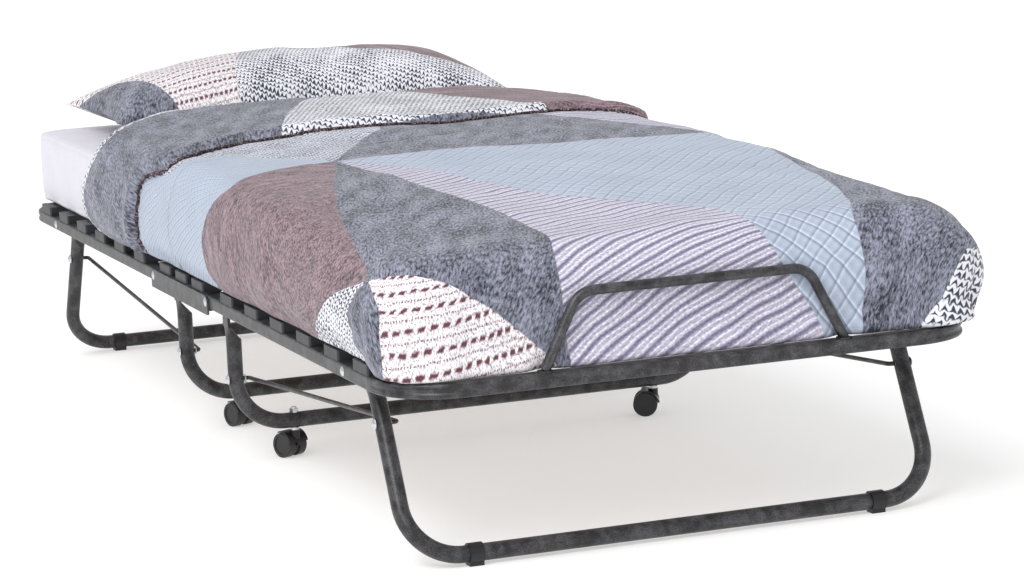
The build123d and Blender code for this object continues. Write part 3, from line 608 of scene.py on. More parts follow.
    def fabrics(self, tree: bpy.types.NodeTree) -> Dict[Fabric, Tuple[object, object]]:
        """Every fabric's colour and height."""
        return {
            Fabric.SLATE: self.melange(tree, "#20232f", "#9699ab", 24, (3.2, 9.0), (0.40, 0.62)),
            Fabric.WAFFLE: self.diamonds(tree, "#a6b0c3", "#8a97ab", "#bdc6d5", (27.0, 33.0), 0),
            # Rib: base colour, painted groove shade, painted ridge highlight.
            Fabric.RIB: self.ribs(tree, "#aeaabd", "#757089", "#dedce8", self.rib_mm),
            Fabric.DASH: self.dashes(tree, "#5f303c", -9, (11.5, 28.0)),
            # Chunky and light knits: stitch colour, then painted shade between the stitches.
            Fabric.CHUNKY: self.stitches(tree, "#e6e7ee", "#2c3246", (8.0, 9.5), 24, 0.5),
            Fabric.LIGHT_KNIT: self.stitches(tree, "#ccd0db", "#484e62", (9.0, 9.0), 40, 0.5),
            Fabric.MAUVE: self.swirl(tree, "#35262d", "#9c838b"),
            Fabric.QUILT: self.diamonds(tree, "#a9b4c6", "#8f9cb1", "#bcc6d5", (13.0, 17.0), 12),
        }

    def make(self) -> bpy.types.Material:
        """Builds the material from the eight fabrics and their masks."""
        material, tree, shader = new_material(self.name)
        cloths = self.fabrics(tree)
        colour, height = cloths[Fabric.SLATE]
        for fabric, (its_colour, its_height) in cloths.items():
            if fabric is Fabric.SLATE:
                continue
            mask = add(tree, "ShaderNodeAttribute", attribute_name=fabric.value, attribute_type="GEOMETRY")
            inside = add(tree, "ShaderNodeMapRange",
                         {"Value": mask.outputs["Fac"], "From Min": -0.8, "From Max": 0.8})
            colour = add(tree, "ShaderNodeMix", {0: inside.outputs[0], 6: colour, 7: its_colour},
                         data_type="RGBA").outputs[2]
            height = add(tree, "ShaderNodeMix", {0: inside.outputs[0], 2: height, 3: its_height},
                         data_type="FLOAT").outputs[0]
        piping = add(tree, "ShaderNodeAttribute", attribute_name="piping", attribute_type="GEOMETRY")
        line = add(tree, "ShaderNodeMapRange",
                   {"Value": piping.outputs["Fac"], "From Min": -0.8, "From Max": 0.8})
        colour = add(tree, "ShaderNodeMix", {0: line.outputs[0], 6: colour, 7: linear("#4a3339")},
                     data_type="RGBA").outputs[2]
        cloud = add(tree, "ShaderNodeTexNoise",
                    {"Vector": self.coordinates(tree, 0, (9.0, 9.0)), "Scale": 1.0, "Detail": 3.0})
        wear = add(tree, "ShaderNodeMapRange",
                   {"Value": cloud.outputs["Fac"], "From Min": 0.3, "From Max": 0.7,
                                               "To Min": 0.93, "To Max": 1.06})
        final = add(tree, "ShaderNodeVectorMath", {0: colour, "Scale": wear.outputs[0]}, operation="SCALE")
        tree.links.new(final.outputs[0], shader.inputs["Base Color"])
        shader.inputs["Roughness"].default_value = 0.88
        shader.inputs["Sheen Weight"].default_value = 0.2
        bump = add(tree, "ShaderNodeBump", {"Height": height, "Strength": 0.35, "Distance": 0.0015})
        tree.links.new(bump.outputs["Normal"], shader.inputs["Normal"])
        return material


# ---------------------------------------------------------------- patchwork layout
@dataclass(frozen=True)
class Patch:
    """One patch: its fabric and its outline on the flat cloth; later patches lie over earlier ones."""

    fabric: Fabric
    outline: Tuple[Point2, ...]

    def distance(self, where: np.ndarray) -> np.ndarray:
        """Signed distance to the outline, positive inside.

        Args:
            where: N by 2 places on the cloth.

        Returns:
            N distances in millimetres.
        """
        corners = np.array(self.outline, float)
        best = np.full(len(where), 1e9)
        inside = np.zeros(len(where), bool)
        for a, b in zip(corners, np.roll(corners, -1, axis=0)):
            edge = b - a
            along = np.clip(((where - a) @ edge) / max(edge @ edge, 1e-9), 0, 1)
            best = np.minimum(best, np.linalg.norm(where - a - along[:, None] * edge, axis=1))
            crosses = (a[1] > where[:, 1]) != (b[1] > where[:, 1])
            rise = np.where(abs(b[1] - a[1]) < 1e-9, 1e-9, b[1] - a[1])
            inside ^= crosses & (where[:, 0] < (b[0] - a[0]) * (where[:, 1] - a[1]) / rise + a[0])
        return np.where(inside, best, -best)


def curve(*points: Point2) -> List[Point2]:
    """Smooth line through the points, ends kept.

    Args:
        points: what the line passes through.

    Returns:
        The line as short runs.
    """
    if len(points) < 3:
        return list(points)
    padded_points = [points[0], *points, points[-1]]
    out: List[Point2] = []
    for k in range(1, len(padded_points) - 2):
        p0, p1, p2, p3 = (np.array(padded_points[k + d], float) for d in (-1, 0, 1, 2))
        for step in range(8):
            t = step / 8
            value = 0.5 * (2 * p1 + (p2 - p0) * t + (2 * p0 - 5 * p1 + 4 * p2 - p3) * t * t
                           + (3 * p1 - p0 - 3 * p2 + p3) * t ** 3)
            out.append((float(value[0]), float(value[1])))
    out.append(tuple(map(float, points[-1])))
    return out


@dataclass
class DuvetPattern:
    """Where each fabric lies on the flat duvet. Across is X, along is Y, and the sides carry on outwards."""

    star: Point2 = (-205, -150)         # where six patches meet
    corner: Point2 = (-412, -855)       # where five patches meet at the foot corner
    far: float = 700.0

    def fold_line(self) -> List[Point2]:
        """The edge of the turned-down band, from the left hem to the right one."""
        return curve((-620, 200), (-555, 195), (-475, 175), (-435, 150), (-405, 75), (-355, 90),
                     (-300, 128), (-185, 172),
                     (-30, 178), (95, 168), (275, 205), (335, 190), (395, 130), (440, 165), (520, 190),
                     (620, 200))

    def band(self) -> Patch:
        """The turned-down band, as a patch of the head end."""
        return Patch(Fabric.SLATE, tuple(self.fold_line() + [(620, 1200), (-620, 1200)]))

    def patches(self) -> List[Patch]:
        """Every patch, lowest first."""
        star, corner, far = self.star, self.corner, self.far
        low_edge = curve(star, (-120, -158), (0, -172), (120, -190), (240, -178), (365, -165))
        rib_top = curve(star, (-150, -290), (-95, -520), (-50, -615), (25, -710), (90, -805), (98, -880),
                        (115, -950),
                        (135, -1000), (170, -1055), (185, -1140))
        slate_right = curve(star, (-196, -300), (-180, -520), (-160, -690), (-158, -820), (-172, -930),
                            (-172, -1000),
                            (-168, -1060), (-165, -1140))
        waffle_right = curve((365, -165), (378, -275), (335, -560), (285, -770), (240, -900), (236, -960),
                             (238, -1010),
                             (230, -1060), (222, -1140))
        dash_top = curve(corner, (-395, -872), (-365, -898), (-325, -940), (-270, -990), (-225, -1030),
                         (-190, -1062),
                         (-165, -1100))
        small_right = curve(corner, (-424, -912), (-448, -938), (-490, -970), (-540, -1010))
        small_left = curve(corner, (-452, -818), (-488, -806), (-520, -840), (-545, -890), (-600, -930))
        mauve_right = curve(star, (-245, -275), (-300, -440), (-355, -640), corner)
        mauve_low = curve(corner, (-455, -765), (-503, -695), (-545, -655), (-620, -620))
        mauve_high = curve(star, (-265, -163), (-335, -185), (-388, -222), (-428, -198), (-480, -166),
                           (-530, -180), (-620, -240))
        quilt_high = curve((-430, 150), (-408, 45), (-365, 35), (-320, 38), (-272, -50), star)
        knit_right = curve((-30, 185), (-45, 120), (-95, 55), (-150, -50), star)
        band_split = curve((-185, 168), (-120, 345), (-55, 485), (25, 640), (60, 1000))
        band_right = curve((262, 190), (225, 330), (185, 430), (130, 555), (60, 640), (60, 1000))
        right_end = curve((215, 215), (262, 110), (300, 25), (335, -50), (365, -165))
        return [
            Patch(Fabric.WAFFLE, tuple(low_edge + waffle_right[1:] + rib_top[::-1])),
            Patch(Fabric.RIB, tuple(rib_top + slate_right[::-1])),
            Patch(Fabric.SLATE, tuple(slate_right + dash_top[::-1] + mauve_right[::-1])),
            Patch(Fabric.DASH, tuple(dash_top + [(-165, -1200), (-540, -1200)] + small_right[::-1])),
            Patch(Fabric.SLATE, tuple(small_right + small_left[::-1])),
            Patch(Fabric.CHUNKY, tuple(small_left + mauve_low[::-1])),
            Patch(Fabric.MAUVE, tuple(mauve_right + mauve_low[1:] + mauve_high[::-1])),
            Patch(Fabric.QUILT, tuple(mauve_high + [(-620, 260), (-430, 260)] + quilt_high)),
            Patch(Fabric.LIGHT_KNIT, tuple(quilt_high[6:] + knit_right[::-1] + [(-30, 300), (-430, 300)])),
            Patch(Fabric.RIB, tuple(right_end + [(430, -215), (far, -120), (far, 300), (215, 300)])),
            Patch(Fabric.CHUNKY, ((400, -950), (far, -700), (far, -1300), (250, -1300), (288, -1092), (330,
                -1060), (370, -1030))),
            self.band(),
            Patch(Fabric.CHUNKY, tuple(band_split + band_right[::-1])),
            Patch(Fabric.MAUVE, tuple(band_right + [(far, 1000), (far, 200)] + self.fold_line()[::-1][:34])),
        ]

    def masks(self, where: np.ndarray) -> Dict[Fabric, np.ndarray]:
        """Each fabric's signed distance where nothing lies over it.

        Args:
            where: N by 2 places on the cloth.

        Returns:
            One array for each fabric but the base.
        """
        patches = self.patches()
        distances = [patch.distance(where) for patch in patches]
        out = {fabric: np.full(len(where), -1e3) for fabric in Fabric if fabric is not Fabric.SLATE}
        above = np.full(len(where), -1e9)
        for patch, distance in zip(reversed(patches), reversed(distances)):
            if patch.fabric is not Fabric.SLATE:
                out[patch.fabric] = np.maximum(out[patch.fabric], np.minimum(distance, -above))
            above = np.maximum(above, distance)
        return {fabric: np.clip(values, -1e3, 1e3) for fabric, values in out.items()}


# ---------------------------------------------------------------- mesh helpers
def make_object(name: str, vertices: np.ndarray, faces: Sequence[Sequence[int]],
                smooth: bool = True) -> bpy.types.Object:
    """Makes a mesh object from millimetre vertices.

    Args:
        name: the object's name.
        vertices: N by 3 positions in millimetres.
        faces: vertex numbers of each face.
        smooth: whether faces are shaded smooth.

    Returns:
        The linked object.
    """
    mesh = bpy.data.meshes.new(name)
    mesh.from_pydata((np.asarray(vertices) * MM).tolist(), [], [list(f) for f in faces])
    mesh.validate()
    mesh.update()
    obj = bpy.data.objects.new(name, mesh)
    bpy.context.scene.collection.objects.link(obj)
    if smooth:
        mesh.polygons.foreach_set("use_smooth", [True] * len(mesh.polygons))
    return obj


def dress(obj: bpy.types.Object, material: bpy.types.Material) -> None:
    """Gives an object one material."""
    obj.data.materials.clear()
    obj.data.materials.append(material)


@dataclass
class Drape:
    """A cloth laid over a block with rounded upright corners: flat on top, rounded over the edge, hanging
    at the sides.

    The cloth is a grid over the block's top and rings round it. Each ring is a given way out from the
    grid's edge.
    """

    inner_x: float                     # half width of the flat grid
    y_foot: float                      # where the grid ends towards the foot or None where the piece is cut
    y_head: float                      # where the grid ends towards the head
    corner_at_foot: bool               # whether the cloth goes round the foot end
    reach: float                       # how far the rings go, measured on the cloth
    step: float = 7.0

    def build(self) -> Tuple[np.ndarray, np.ndarray, np.ndarray, List[Tuple[int, ...]]]:
        """Lays the grid and rings out.

        Returns:
            Anchor points on the grid's edge, outward directions, distances from the edge, and faces.
        """
        nx = max(2, round(2 * self.inner_x / self.step))
        ny = max(2, round((self.y_head - self.y_foot) / self.step))
        xs, ys = np.linspace(-self.inner_x, self.inner_x, nx + 1), np.linspace(self.y_foot, self.y_head,
            ny + 1)
        anchors = [(x, y) for y in ys for x in xs]
        ways = [(0.0, 0.0)] * len(anchors)
        out = [0.0] * len(anchors)
        index = lambda i, j: j * (nx + 1) + i
        faces = [(index(i, j), index(i + 1, j), index(i + 1, j + 1),
                  index(i, j + 1)) for j in range(ny) for i in range(nx)]
        fan = 34
        edge: List[Tuple[int, Point2]] = [(index(0, j), (-1.0, 0.0)) for j in range(ny, -1, -1)]
        strips = []
        if self.corner_at_foot:
            angles = [math.pi / 2 * k / fan for k in range(1, fan)]
            edge += [(index(0, 0), (-math.cos(a), -math.sin(a))) for a in angles]
            edge += [(index(i, 0), (0.0, -1.0)) for i in range(nx + 1)]
            edge += [(index(nx, 0), (math.sin(a), -math.cos(a))) for a in angles]
            edge += [(index(nx, j), (1.0, 0.0)) for j in range(ny + 1)]
            strips = [edge]
        else:
            strips = [edge, [(index(nx, j), (1.0, 0.0)) for j in range(ny + 1)]]
        rings = max(2, round(self.reach / self.step))
        for strip in strips:
            before = [number for number, _ in strip]
            for ring in range(1, rings + 1):
                now = []
                for number, way in strip:
                    now.append(len(anchors))
                    anchors.append(anchors[number])
                    ways.append(way)
                    out.append(self.reach * ring / rings)
                for k in range(len(strip) - 1):
                    corners = [before[k], now[k], now[k + 1], before[k + 1]]
                    unique = list(dict.fromkeys(corners))
                    if len(unique) > 2:
                        faces.append(tuple(unique))
                before = now
        return np.array(anchors), np.array(ways), np.array(out), faces


def close_shell(outer: np.ndarray, inner: np.ndarray, faces: List[Tuple[int, ...]], ways: np.ndarray,
                rows: int = 3) -> Tuple[np.ndarray, List[Tuple[int, ...]], np.ndarray, np.ndarray]:
    """Joins an outer and an inner sheet along their open edges.

    Args:
        outer: N by 3 positions of the outer sheet.
        inner: N by 3 positions of the inner sheet.
        faces: faces of one sheet.
        ways: N by 3, how far the joint bulges at each vertex, and which way.
        rows: vertices across the joint.

    Returns:
        All vertices, all faces, for each vertex the number of the sheet vertex that it comes from, and how
            many
        rows of the joint it is away from it.
    """
    count = len(outer)
    edges: Dict[Tuple[int, int], Tuple[int, int]] = {}
    for face in faces:
        for a, b in zip(face, face[1:] + face[:1]):
            key = (min(a, b), max(a, b))
            if key in edges:
                edges[key] = None
            else:
                edges[key] = (a, b)
    open_edges = [pair for pair in edges.values() if pair]
    vertices, source = [outer, inner], [np.arange(count), np.arange(count)]
    turned = [np.zeros(count), np.full(count, rows + 1.0)]
    extra: Dict[int, List[int]] = {}
    total = 2 * count
    for number in sorted({v for pair in open_edges for v in pair}):
        middle, half = (outer[number] + inner[number]) / 2, (outer[number] - inner[number]) / 2
        chain = [number]
        for row in range(1, rows + 1):
            angle = math.pi * row / (rows + 1)
            vertices.append((middle + half * math.cos(angle) + ways[number] * math.sin(angle))[None, :])
            source.append(np.array([number]))
            turned.append(np.array([float(row)]))
            chain.append(total)
            total += 1
        extra[number] = chain + [number + count]
    joined = list(faces) + [tuple(v + count for v in reversed(face)) for face in faces]
    for a, b in open_edges:
        for k in range(rows + 1):
            joined.append((extra[b][k], extra[a][k], extra[a][k + 1], extra[b][k + 1]))
    return np.vstack(vertices), joined, np.concatenate(source), np.concatenate(turned)


# ---------------------------------------------------------------- soft goods
@dataclass
class Duvet:
    """The duvet: a puffy cover over mattress and foot end, with a band turned down at its head end."""

    bottom: float = 262.6              # underside of the hem at the sides
    foot_bottom: float = 248.3         # underside of the hem round the foot end, on the rail
    mattress_top: float = 374.3
    mattress_half: float = 386.4
    mattress_foot: float = 912.4
    half_width: float = 404.0          # outer face of the hanging sides
    foot: float = 927.0                # outer face of the hanging foot end
    head: float = 556.0
    edge: float = 110.0                # from the outer face to the flat part of the top
    drop: float = 140.0                # cloth beyond the sharp edge of the block
    hem_curl: float = 7.0
    trim: float = 13.0                 # knitted strip along the head edge
    pattern: DuvetPattern = field(default_factory=DuvetPattern)
    fold_path: np.ndarray = None       # where the fold lies on the finished cover

    def lay_fold(self, cloth: np.ndarray, outer: np.ndarray, normal: np.ndarray) -> None:
        """Finds where the fold line lies on the outer sheet, just in front of the band.

        Args:
            cloth: flat coordinates of the sheet's vertices.
            outer: their places.
            normal: their outward directions.
        """
        reach = self.edge + self.drop - 6 + self.half_width - self.edge
        line = np.array([p for p in self.pattern.fold_line() if abs(p[0]) < reach]) - (0, 3.0)
        places = []
        for point in line:
            far = np.linalg.norm(cloth - point, axis=1)
            near = np.argsort(far)[:6]
            weight = 1 / (far[near] + 0.5) ** 2
            places.append(((outer[near] + normal[near] * 1.2) * weight[:, None]).sum(0) / weight.sum())
        self.fold_path = np.array(places)

    def top_height(self, x: np.ndarray, y: np.ndarray) -> np.ndarray:
        """Height of the top, lower at the sides and towards the foot."""
        crown = 13 * (1 - np.clip(np.abs(x) / 400, 0, 1) ** 2)
        foot_fall = 27 * smoothstep((-350 - y) / 620)
        far_corner = 9 * smoothstep((x - 60) / 230) * smoothstep((-y - 560) / 240)
        return 414 + crown - foot_fall + far_corner

    def hem(self, way: np.ndarray) -> np.ndarray:
        """Lowest point of the cover: above the slat holders at the sides, down on the rail round the foot
        end."""
        return self.bottom + self.hem_curl - (self.bottom - self.foot_bottom) * smoothstep((-way[:,
            1] - 0.15) / 0.3)

    def head_edge(self, across: np.ndarray) -> np.ndarray:
        """How far the duvet reaches towards the head, by the place across the cloth."""
        side = np.abs(across)
        high = self.head - 140 * smoothstep((side - 250) / 150)
        lump = high + 65 * np.exp(-((side - 500) / 55) ** 2)
        return lump - 200 * smoothstep((side - 520) / 60)

    def outer(self, anchor: np.ndarray, way: np.ndarray, out: np.ndarray) -> np.ndarray:
        """Positions of the outer sheet before its folds."""
        foot_share = smoothstep((-300 - anchor[:, 1]) / 520)
        radius = 46 + 20 * foot_share
        radius = np.where(way[:, 1] < -0.01, 46 + 20 * np.maximum(foot_share, 0.95), radius)
        start, end = self.edge - radius, self.edge + radius
        angle = np.clip((out - start) / (2 * radius), 0, 1) * math.pi / 2
        away = np.where(out <= start, out, start + radius * np.sin(angle))
        down = radius * (1 - np.cos(angle)) + np.maximum(out - end, 0)
        top = self.top_height(anchor[:, 0], anchor[:, 1])
        hang = np.maximum(top - self.hem(way) - 1, 1)
        down = np.where(out > end, radius + (out - end) * (hang - radius) / (self.edge + self.drop - end),
                        down)
        share = np.clip(down / hang, 0, 1)
        front = smoothstep((-way[:, 1] - 0.4) / 0.4)
        clear_of_bow = smoothstep((np.abs(anchor[:, 0]) - 222) / 50)
        swell = np.sin(math.pi * np.clip((share - 0.25) / 0.75, 0, 1))
        far_corner = smoothstep((-anchor[:, 1] - 560) / 220) * (way[:, 0] > 0)
        side = (7 + 9 * far_corner) * swell - 6 * smoothstep((share - 0.85) / 0.15)
        at_bow_foot = np.exp(-((np.abs(anchor[:, 0]) - 202) / 17) ** 2) * (way[:, 1] < -0.99)
        end_face = ((2.5 + 5 * clear_of_bow) * swell
                    + 11 * smoothstep((share - 0.82) / 0.18) * (1 - at_bow_foot))
        bulge = side * (1 - front) + end_face * front
        away = away + np.where(out > start, bulge, 0)
        away = away * (1 + (0.16 + 0.09 * (way[:, 0] > 0)) * np.abs(2 * way[:, 0] * way[:, 1]) ** 1.2)
        side_fall = 13 * ((np.clip(np.abs(anchor[:, 0] + way[:, 0] * np.minimum(out, start)) / 400, 0,
                                   1)) ** 2
                          - np.clip(np.abs(anchor[:, 0]) / 400, 0, 1) ** 2)
        return np.column_stack([anchor[:, 0] + way[:, 0] * away, anchor[:, 1] + way[:, 1] * away,
                                top - side_fall - down])

    def inner(self, anchor: np.ndarray, way: np.ndarray, out: np.ndarray) -> np.ndarray:
        """Positions of the inner sheet, which lies on the mattress."""
        radius = 9.0
        limit = np.where(way[:, 1] < -0.5, self.edge - (self.foot - self.mattress_foot),
                         self.edge - (self.half_width - self.mattress_half))
        angle = np.clip((out - (self.edge - radius)) / (2 * radius), 0, 1) * math.pi / 2
        flat = np.minimum(out * limit / self.edge, limit)
        hang = self.mattress_top + 0.6 - self.hem(way) - 1
        down = np.where(out > self.edge + radius,
                        radius + (out - self.edge - radius) * (hang - radius) / (self.drop - radius),
                        radius * (1 - np.cos(angle)))
        top = np.full(len(out), self.mattress_top + 0.6)
        front = smoothstep((-way[:, 1] - 0.4) / 0.4)
        at_bow_foot = np.exp(-((np.abs(anchor[:, 0]) - 202) / 17) ** 2) * (way[:, 1] < -0.99)
        flat = flat + 16 * smoothstep((down / hang - 0.8) / 0.2) * front * (1 - at_bow_foot)
        return np.column_stack([anchor[:, 0] + way[:, 0] * flat, anchor[:, 1] + way[:, 1] * flat, top - down])

    def folds(self, cloth: np.ndarray, position: np.ndarray, normal: np.ndarray,
              out: np.ndarray) -> np.ndarray:
        """Height of the band, billows and creases along the normal."""
        flat = np.column_stack([cloth, np.zeros(len(cloth))])
        band = self.pattern.band().distance(cloth)
        lift = 9 * smoothstep((band + 5) / 24) + 4 * np.exp(-((band - 20) / 15) ** 2)
        gully = -3.0 * np.exp(-((band + 6) / 6) ** 2)
        billow = 4.2 * noise_field(flat, 210, 3.1) + 1.5 * noise_field(flat, 62, 7.7)
        hanging = smoothstep((out - self.edge) / 60)
        stretched = flat * np.array([0.35, 1.0, 1.0])
        pleats = 3.0 * noise_field(stretched, 85, 12.3) * hanging
        corner_angle = np.arctan2(-(position[:, 1] + 817), np.abs(position[:, 0]) - 294)
        in_corner = (hanging * smoothstep((corner_angle - 0.1) / 0.25)
                     * smoothstep((1.5 - corner_angle) / 0.25))
        creases = np.zeros(len(out))
        low = (out - self.edge) / self.drop
        for angle, depth, width, place in ((0.72, 9.0, 0.06, 0.30), (0.74, 8.0, 0.05, 0.85),
                                           (1.2, 4.0, 0.08, 0.6), (0.3, 4.0, 0.08, 0.6)):
            creases -= (depth
                        * np.exp(-((corner_angle - angle) / width) ** 2 - ((low - place) / 0.2) ** 2) *
                        in_corner)
        fine = 0.5 * noise_field(flat, 22, 5.5, 1)
        return lift + gully + billow + pleats + creases + fine

    def piece(self, name: str, foot_end: bool) -> bpy.types.Object:
        """Builds one half of the duvet.

        Args:
            name: the object's name.
            foot_end: whether it is the half with the foot end.

        Returns:
            The closed mesh, with its masks and cloth coordinates.
        """
        inner_x = self.half_width - self.edge
        low = -(self.foot - self.edge) if foot_end else 0.0
        high = 0.0 if foot_end else self.head
        drape = Drape(inner_x, low, high, foot_end, self.edge + self.drop)
        anchor, way, out, faces = drape.build()
        cloth = anchor + way * out[:, None]
        edge_y = self.head_edge(cloth[:, 0])
        stretch = 1 + (edge_y / self.head - 1) * smoothstep(anchor[:, 1] / self.head)
        anchor = np.column_stack([anchor[:, 0],
                                  np.where(anchor[:, 1] > 0, anchor[:, 1] * stretch, anchor[:, 1])])
        cloth = anchor + way * out[:, None]
        outer = self.outer(anchor, way, out)
        inner = self.inner(anchor, way, out)
        normal = sheet_normals(outer, faces)
        outer = outer + normal * self.folds(cloth, outer, normal, out)[:, None]
        if not foot_end:
            self.lay_fold(cloth, outer, normal)
        for sheet in (outer, inner):
            sheet[:, 2] = np.maximum(sheet[:, 2], self.hem(way))
        bulge = np.zeros((len(outer), 3))
        bulge[out >= self.edge + self.drop - 0.1] = (0, 0, -self.hem_curl)
        if not foot_end:
            at_head = anchor[:, 1] >= edge_y - 0.5
            bulge[at_head] += (0, 14, 0)
        vertices, joined, source, turned = close_shell(outer, inner, faces, bulge, 4)
        obj = make_object(name, vertices, joined)
        further = np.minimum(turned, 4)[:, None] * 3.0
        self.write_cloth(obj, cloth[source] + way[source] * further,
                         self.skirt(anchor, way, out)[source] - further * (0, 1))
        return obj

    def skirt(self, anchor: np.ndarray, way: np.ndarray, out: np.ndarray) -> np.ndarray:
        """Coordinates of a knit that runs level round the hanging sides: along the edge, and down."""
        half, foot = self.half_width - self.edge, -(self.foot - self.edge)
        turn = np.arctan2(np.abs(way[:, 0]), -way[:, 1])
        round_corner = half + 95 * turn
        straight = np.where(np.abs(way[:, 0]) > 0.999, anchor[:, 1] - foot, 0.0)
        along = np.where((way[:, 1] < -0.999) | (out <= 0), np.abs(anchor[:, 0]), round_corner + straight)
        down = np.where(out > 0, foot - out, anchor[:, 1])
        sign = np.where(anchor[:, 0] < 0, -1.0, 1.0)
        return np.column_stack([along * sign, down])

    def write_cloth(self, obj: bpy.types.Object, cloth: np.ndarray, level: np.ndarray) -> None:
        """Writes the UV maps and the masks of the patchwork.

        Args:
            obj: the cover.
            cloth: flat coordinates of each vertex.
            level: coordinates of the level knits of each vertex.
        """
        mesh = obj.data
        loops = np.zeros(len(mesh.loops), int)
        mesh.loops.foreach_get("vertex_index", loops)
        for name, values in (("cloth", cloth), ("level", level)):
            layer = mesh.uv_layers.new(name=name)
            layer.data.foreach_set("uv", (values[loops] * MM).astype(np.float32).ravel())
        masks = self.pattern.masks(cloth)
        trim = np.minimum(self.trim - (self.head_edge(cloth[:, 0]) - cloth[:, 1]), -150 - cloth[:, 0])
        masks[Fabric.CHUNKY] = np.maximum(masks[Fabric.CHUNKY], trim)
        for fabric, values in masks.items():
            mesh.attributes.new(fabric.value, "FLOAT", "POINT").data.foreach_set("value",
                values.astype(np.float32))
        sweep = cloth[:, 1] - (0.34 + 0.14 * smoothstep((-850 - cloth[:, 1]) / 120)) * cloth[:,
            0] + 0.0005 * cloth[:, 0] ** 2
        mesh.attributes.new("sweep", "FLOAT", "POINT").data.foreach_set("value", sweep.astype(np.float32))
        band = self.pattern.band().distance(cloth)
        piping = 2.2 - np.abs(band + 3.5)
        mesh.attributes.new("piping", "FLOAT", "POINT").data.foreach_set("value", piping.astype(np.float32))

    def build(self, material: bpy.types.Material) -> List[bpy.types.Object]:
        """Builds and dresses both halves."""
        made = []
        for end, foot_end in (("foot", True), ("head", False)):
            obj = self.piece(f"duvet_cover_{end}", foot_end)
            dress(obj, material)
            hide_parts(f"{end}_duvet")
            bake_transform(obj)
            LOG.info("duvet %s: %d faces", end, len(obj.data.polygons))
            made.append(obj)
        made.append(Piping().build(self.fold_path, Yarn().make()))
        return made


@dataclass
class Piping:
    """The twisted cord sewn along the fold of the turned-down band, made of short strands that follow the
    fold."""

    pitch: float = 5.0                 # from strand to strand
    strand: Tuple[float, float] = (5.6, 2.3)   # half length and half thickness of a strand
    lean: float = 28.0                 # how far each strand leans across the cord, in degrees

    def tree(self, material: bpy.types.Material) -> bpy.types.NodeTree:
        """Builds the node tree that sets strands along a curve."""
        tree = bpy.data.node_groups.new("piping_strands", "GeometryNodeTree")
        tree.interface.new_socket("Geometry", in_out="INPUT", socket_type="NodeSocketGeometry")
        for name in ("Pitch", "Half Length", "Half Thickness", "Lean"):
            tree.interface.new_socket(name, in_out="INPUT", socket_type="NodeSocketFloat")
        tree.interface.new_socket("Geometry", in_out="OUTPUT", socket_type="NodeSocketGeometry")
        enter, leave = tree.nodes.new("NodeGroupInput"), tree.nodes.new("NodeGroupOutput")
        points = add(tree, "GeometryNodeCurveToPoints",
                     {0: enter.outputs["Geometry"], "Length": enter.outputs["Pitch"]}, mode="LENGTH")
        ball = add(tree, "GeometryNodeMeshUVSphere", {"Segments": 8, "Rings": 6, "Radius": 1.0})
        size = add(tree, "ShaderNodeCombineXYZ",
                   {0: enter.outputs["Half Thickness"], 1: enter.outputs["Half Thickness"],
                                                  2: enter.outputs["Half Length"]})
        shaped = add(tree, "GeometryNodeTransform",
                     {"Geometry": ball.outputs["Mesh"], "Scale": size.outputs[0]})
        turn = add(tree, "ShaderNodeCombineXYZ", {0: enter.outputs["Lean"]})
        leaned = add(tree, "FunctionNodeRotateRotation", {"Rotation": points.outputs["Rotation"]},
                     rotation_space="LOCAL")
        euler = add(tree, "FunctionNodeEulerToRotation", {0: turn.outputs[0]})
        tree.links.new(euler.outputs[0], leaned.inputs[1])
        placed = add(tree, "GeometryNodeInstanceOnPoints",
                     {"Points": points.outputs["Points"], "Instance": shaped.outputs["Geometry"],
                                                            "Rotation": leaned.outputs[0]})
        real = add(tree, "GeometryNodeRealizeInstances", {0: placed.outputs["Instances"]})
        dressed = add(tree, "GeometryNodeSetMaterial",
                      {"Geometry": real.outputs["Geometry"], "Material": material})
        tree.links.new(dressed.outputs["Geometry"], leave.inputs[0])
        return tree

    def build(self, path: np.ndarray, material: bpy.types.Material) -> bpy.types.Object:
        """Sets the strands along a path and makes them into the cord's own mesh.

        Args:
            path: places along the fold, in millimetres.
            material: the yarn.
        """
        line = bpy.data.curves.new("fold_line", "CURVE")
        line.dimensions = "3D"
        run = line.splines.new("POLY")
        run.points.add(len(path) - 1)
        for point, place in zip(run.points, path * MM):
            point.co = (*place, 1.0)
        holder = bpy.data.objects.new("fold_line", line)
        bpy.context.scene.collection.objects.link(holder)
        modifier = holder.modifiers.new("strands", "NODES")
        modifier.node_group = self.tree(material)
        sizes = {"Pitch": self.pitch * MM, "Half Length": self.strand[0] * MM,
                 "Half Thickness": self.strand[1] * MM,
                 "Lean": math.radians(self.lean)}
        for item in modifier.node_group.interface.items_tree:
            if item.in_out == "INPUT" and item.name in sizes:
                modifier[item.identifier] = sizes[item.name]
        graph = bpy.context.evaluated_depsgraph_get()
        graph.update()
        mesh = bpy.data.meshes.new_from_object(holder.evaluated_get(graph), depsgraph=graph)
        bpy.data.objects.remove(holder)
        obj = bpy.data.objects.new("duvet_piping", mesh)
        bpy.context.scene.collection.objects.link(obj)
        mesh.polygons.foreach_set("use_smooth", [True] * len(mesh.polygons))
        dress(obj, material)
        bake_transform(obj)
        LOG.info("piping: %d strands", len(mesh.polygons) // 48)
        return obj


def sheet_normals(points: np.ndarray, faces: Sequence[Sequence[int]]) -> np.ndarray:
    """Vertex normals of an open sheet, pointing up or out."""
    normal = np.zeros_like(points)
    for face in faces:
        a, b, c = points[face[0]], points[face[1]], points[face[2]]
        n = np.cross(b - a, c - a)
        for number in face:
            normal[number] += n
    length = np.linalg.norm(normal, axis=1, keepdims=True)
    normal = normal / np.maximum(length, 1e-9)
    return normal


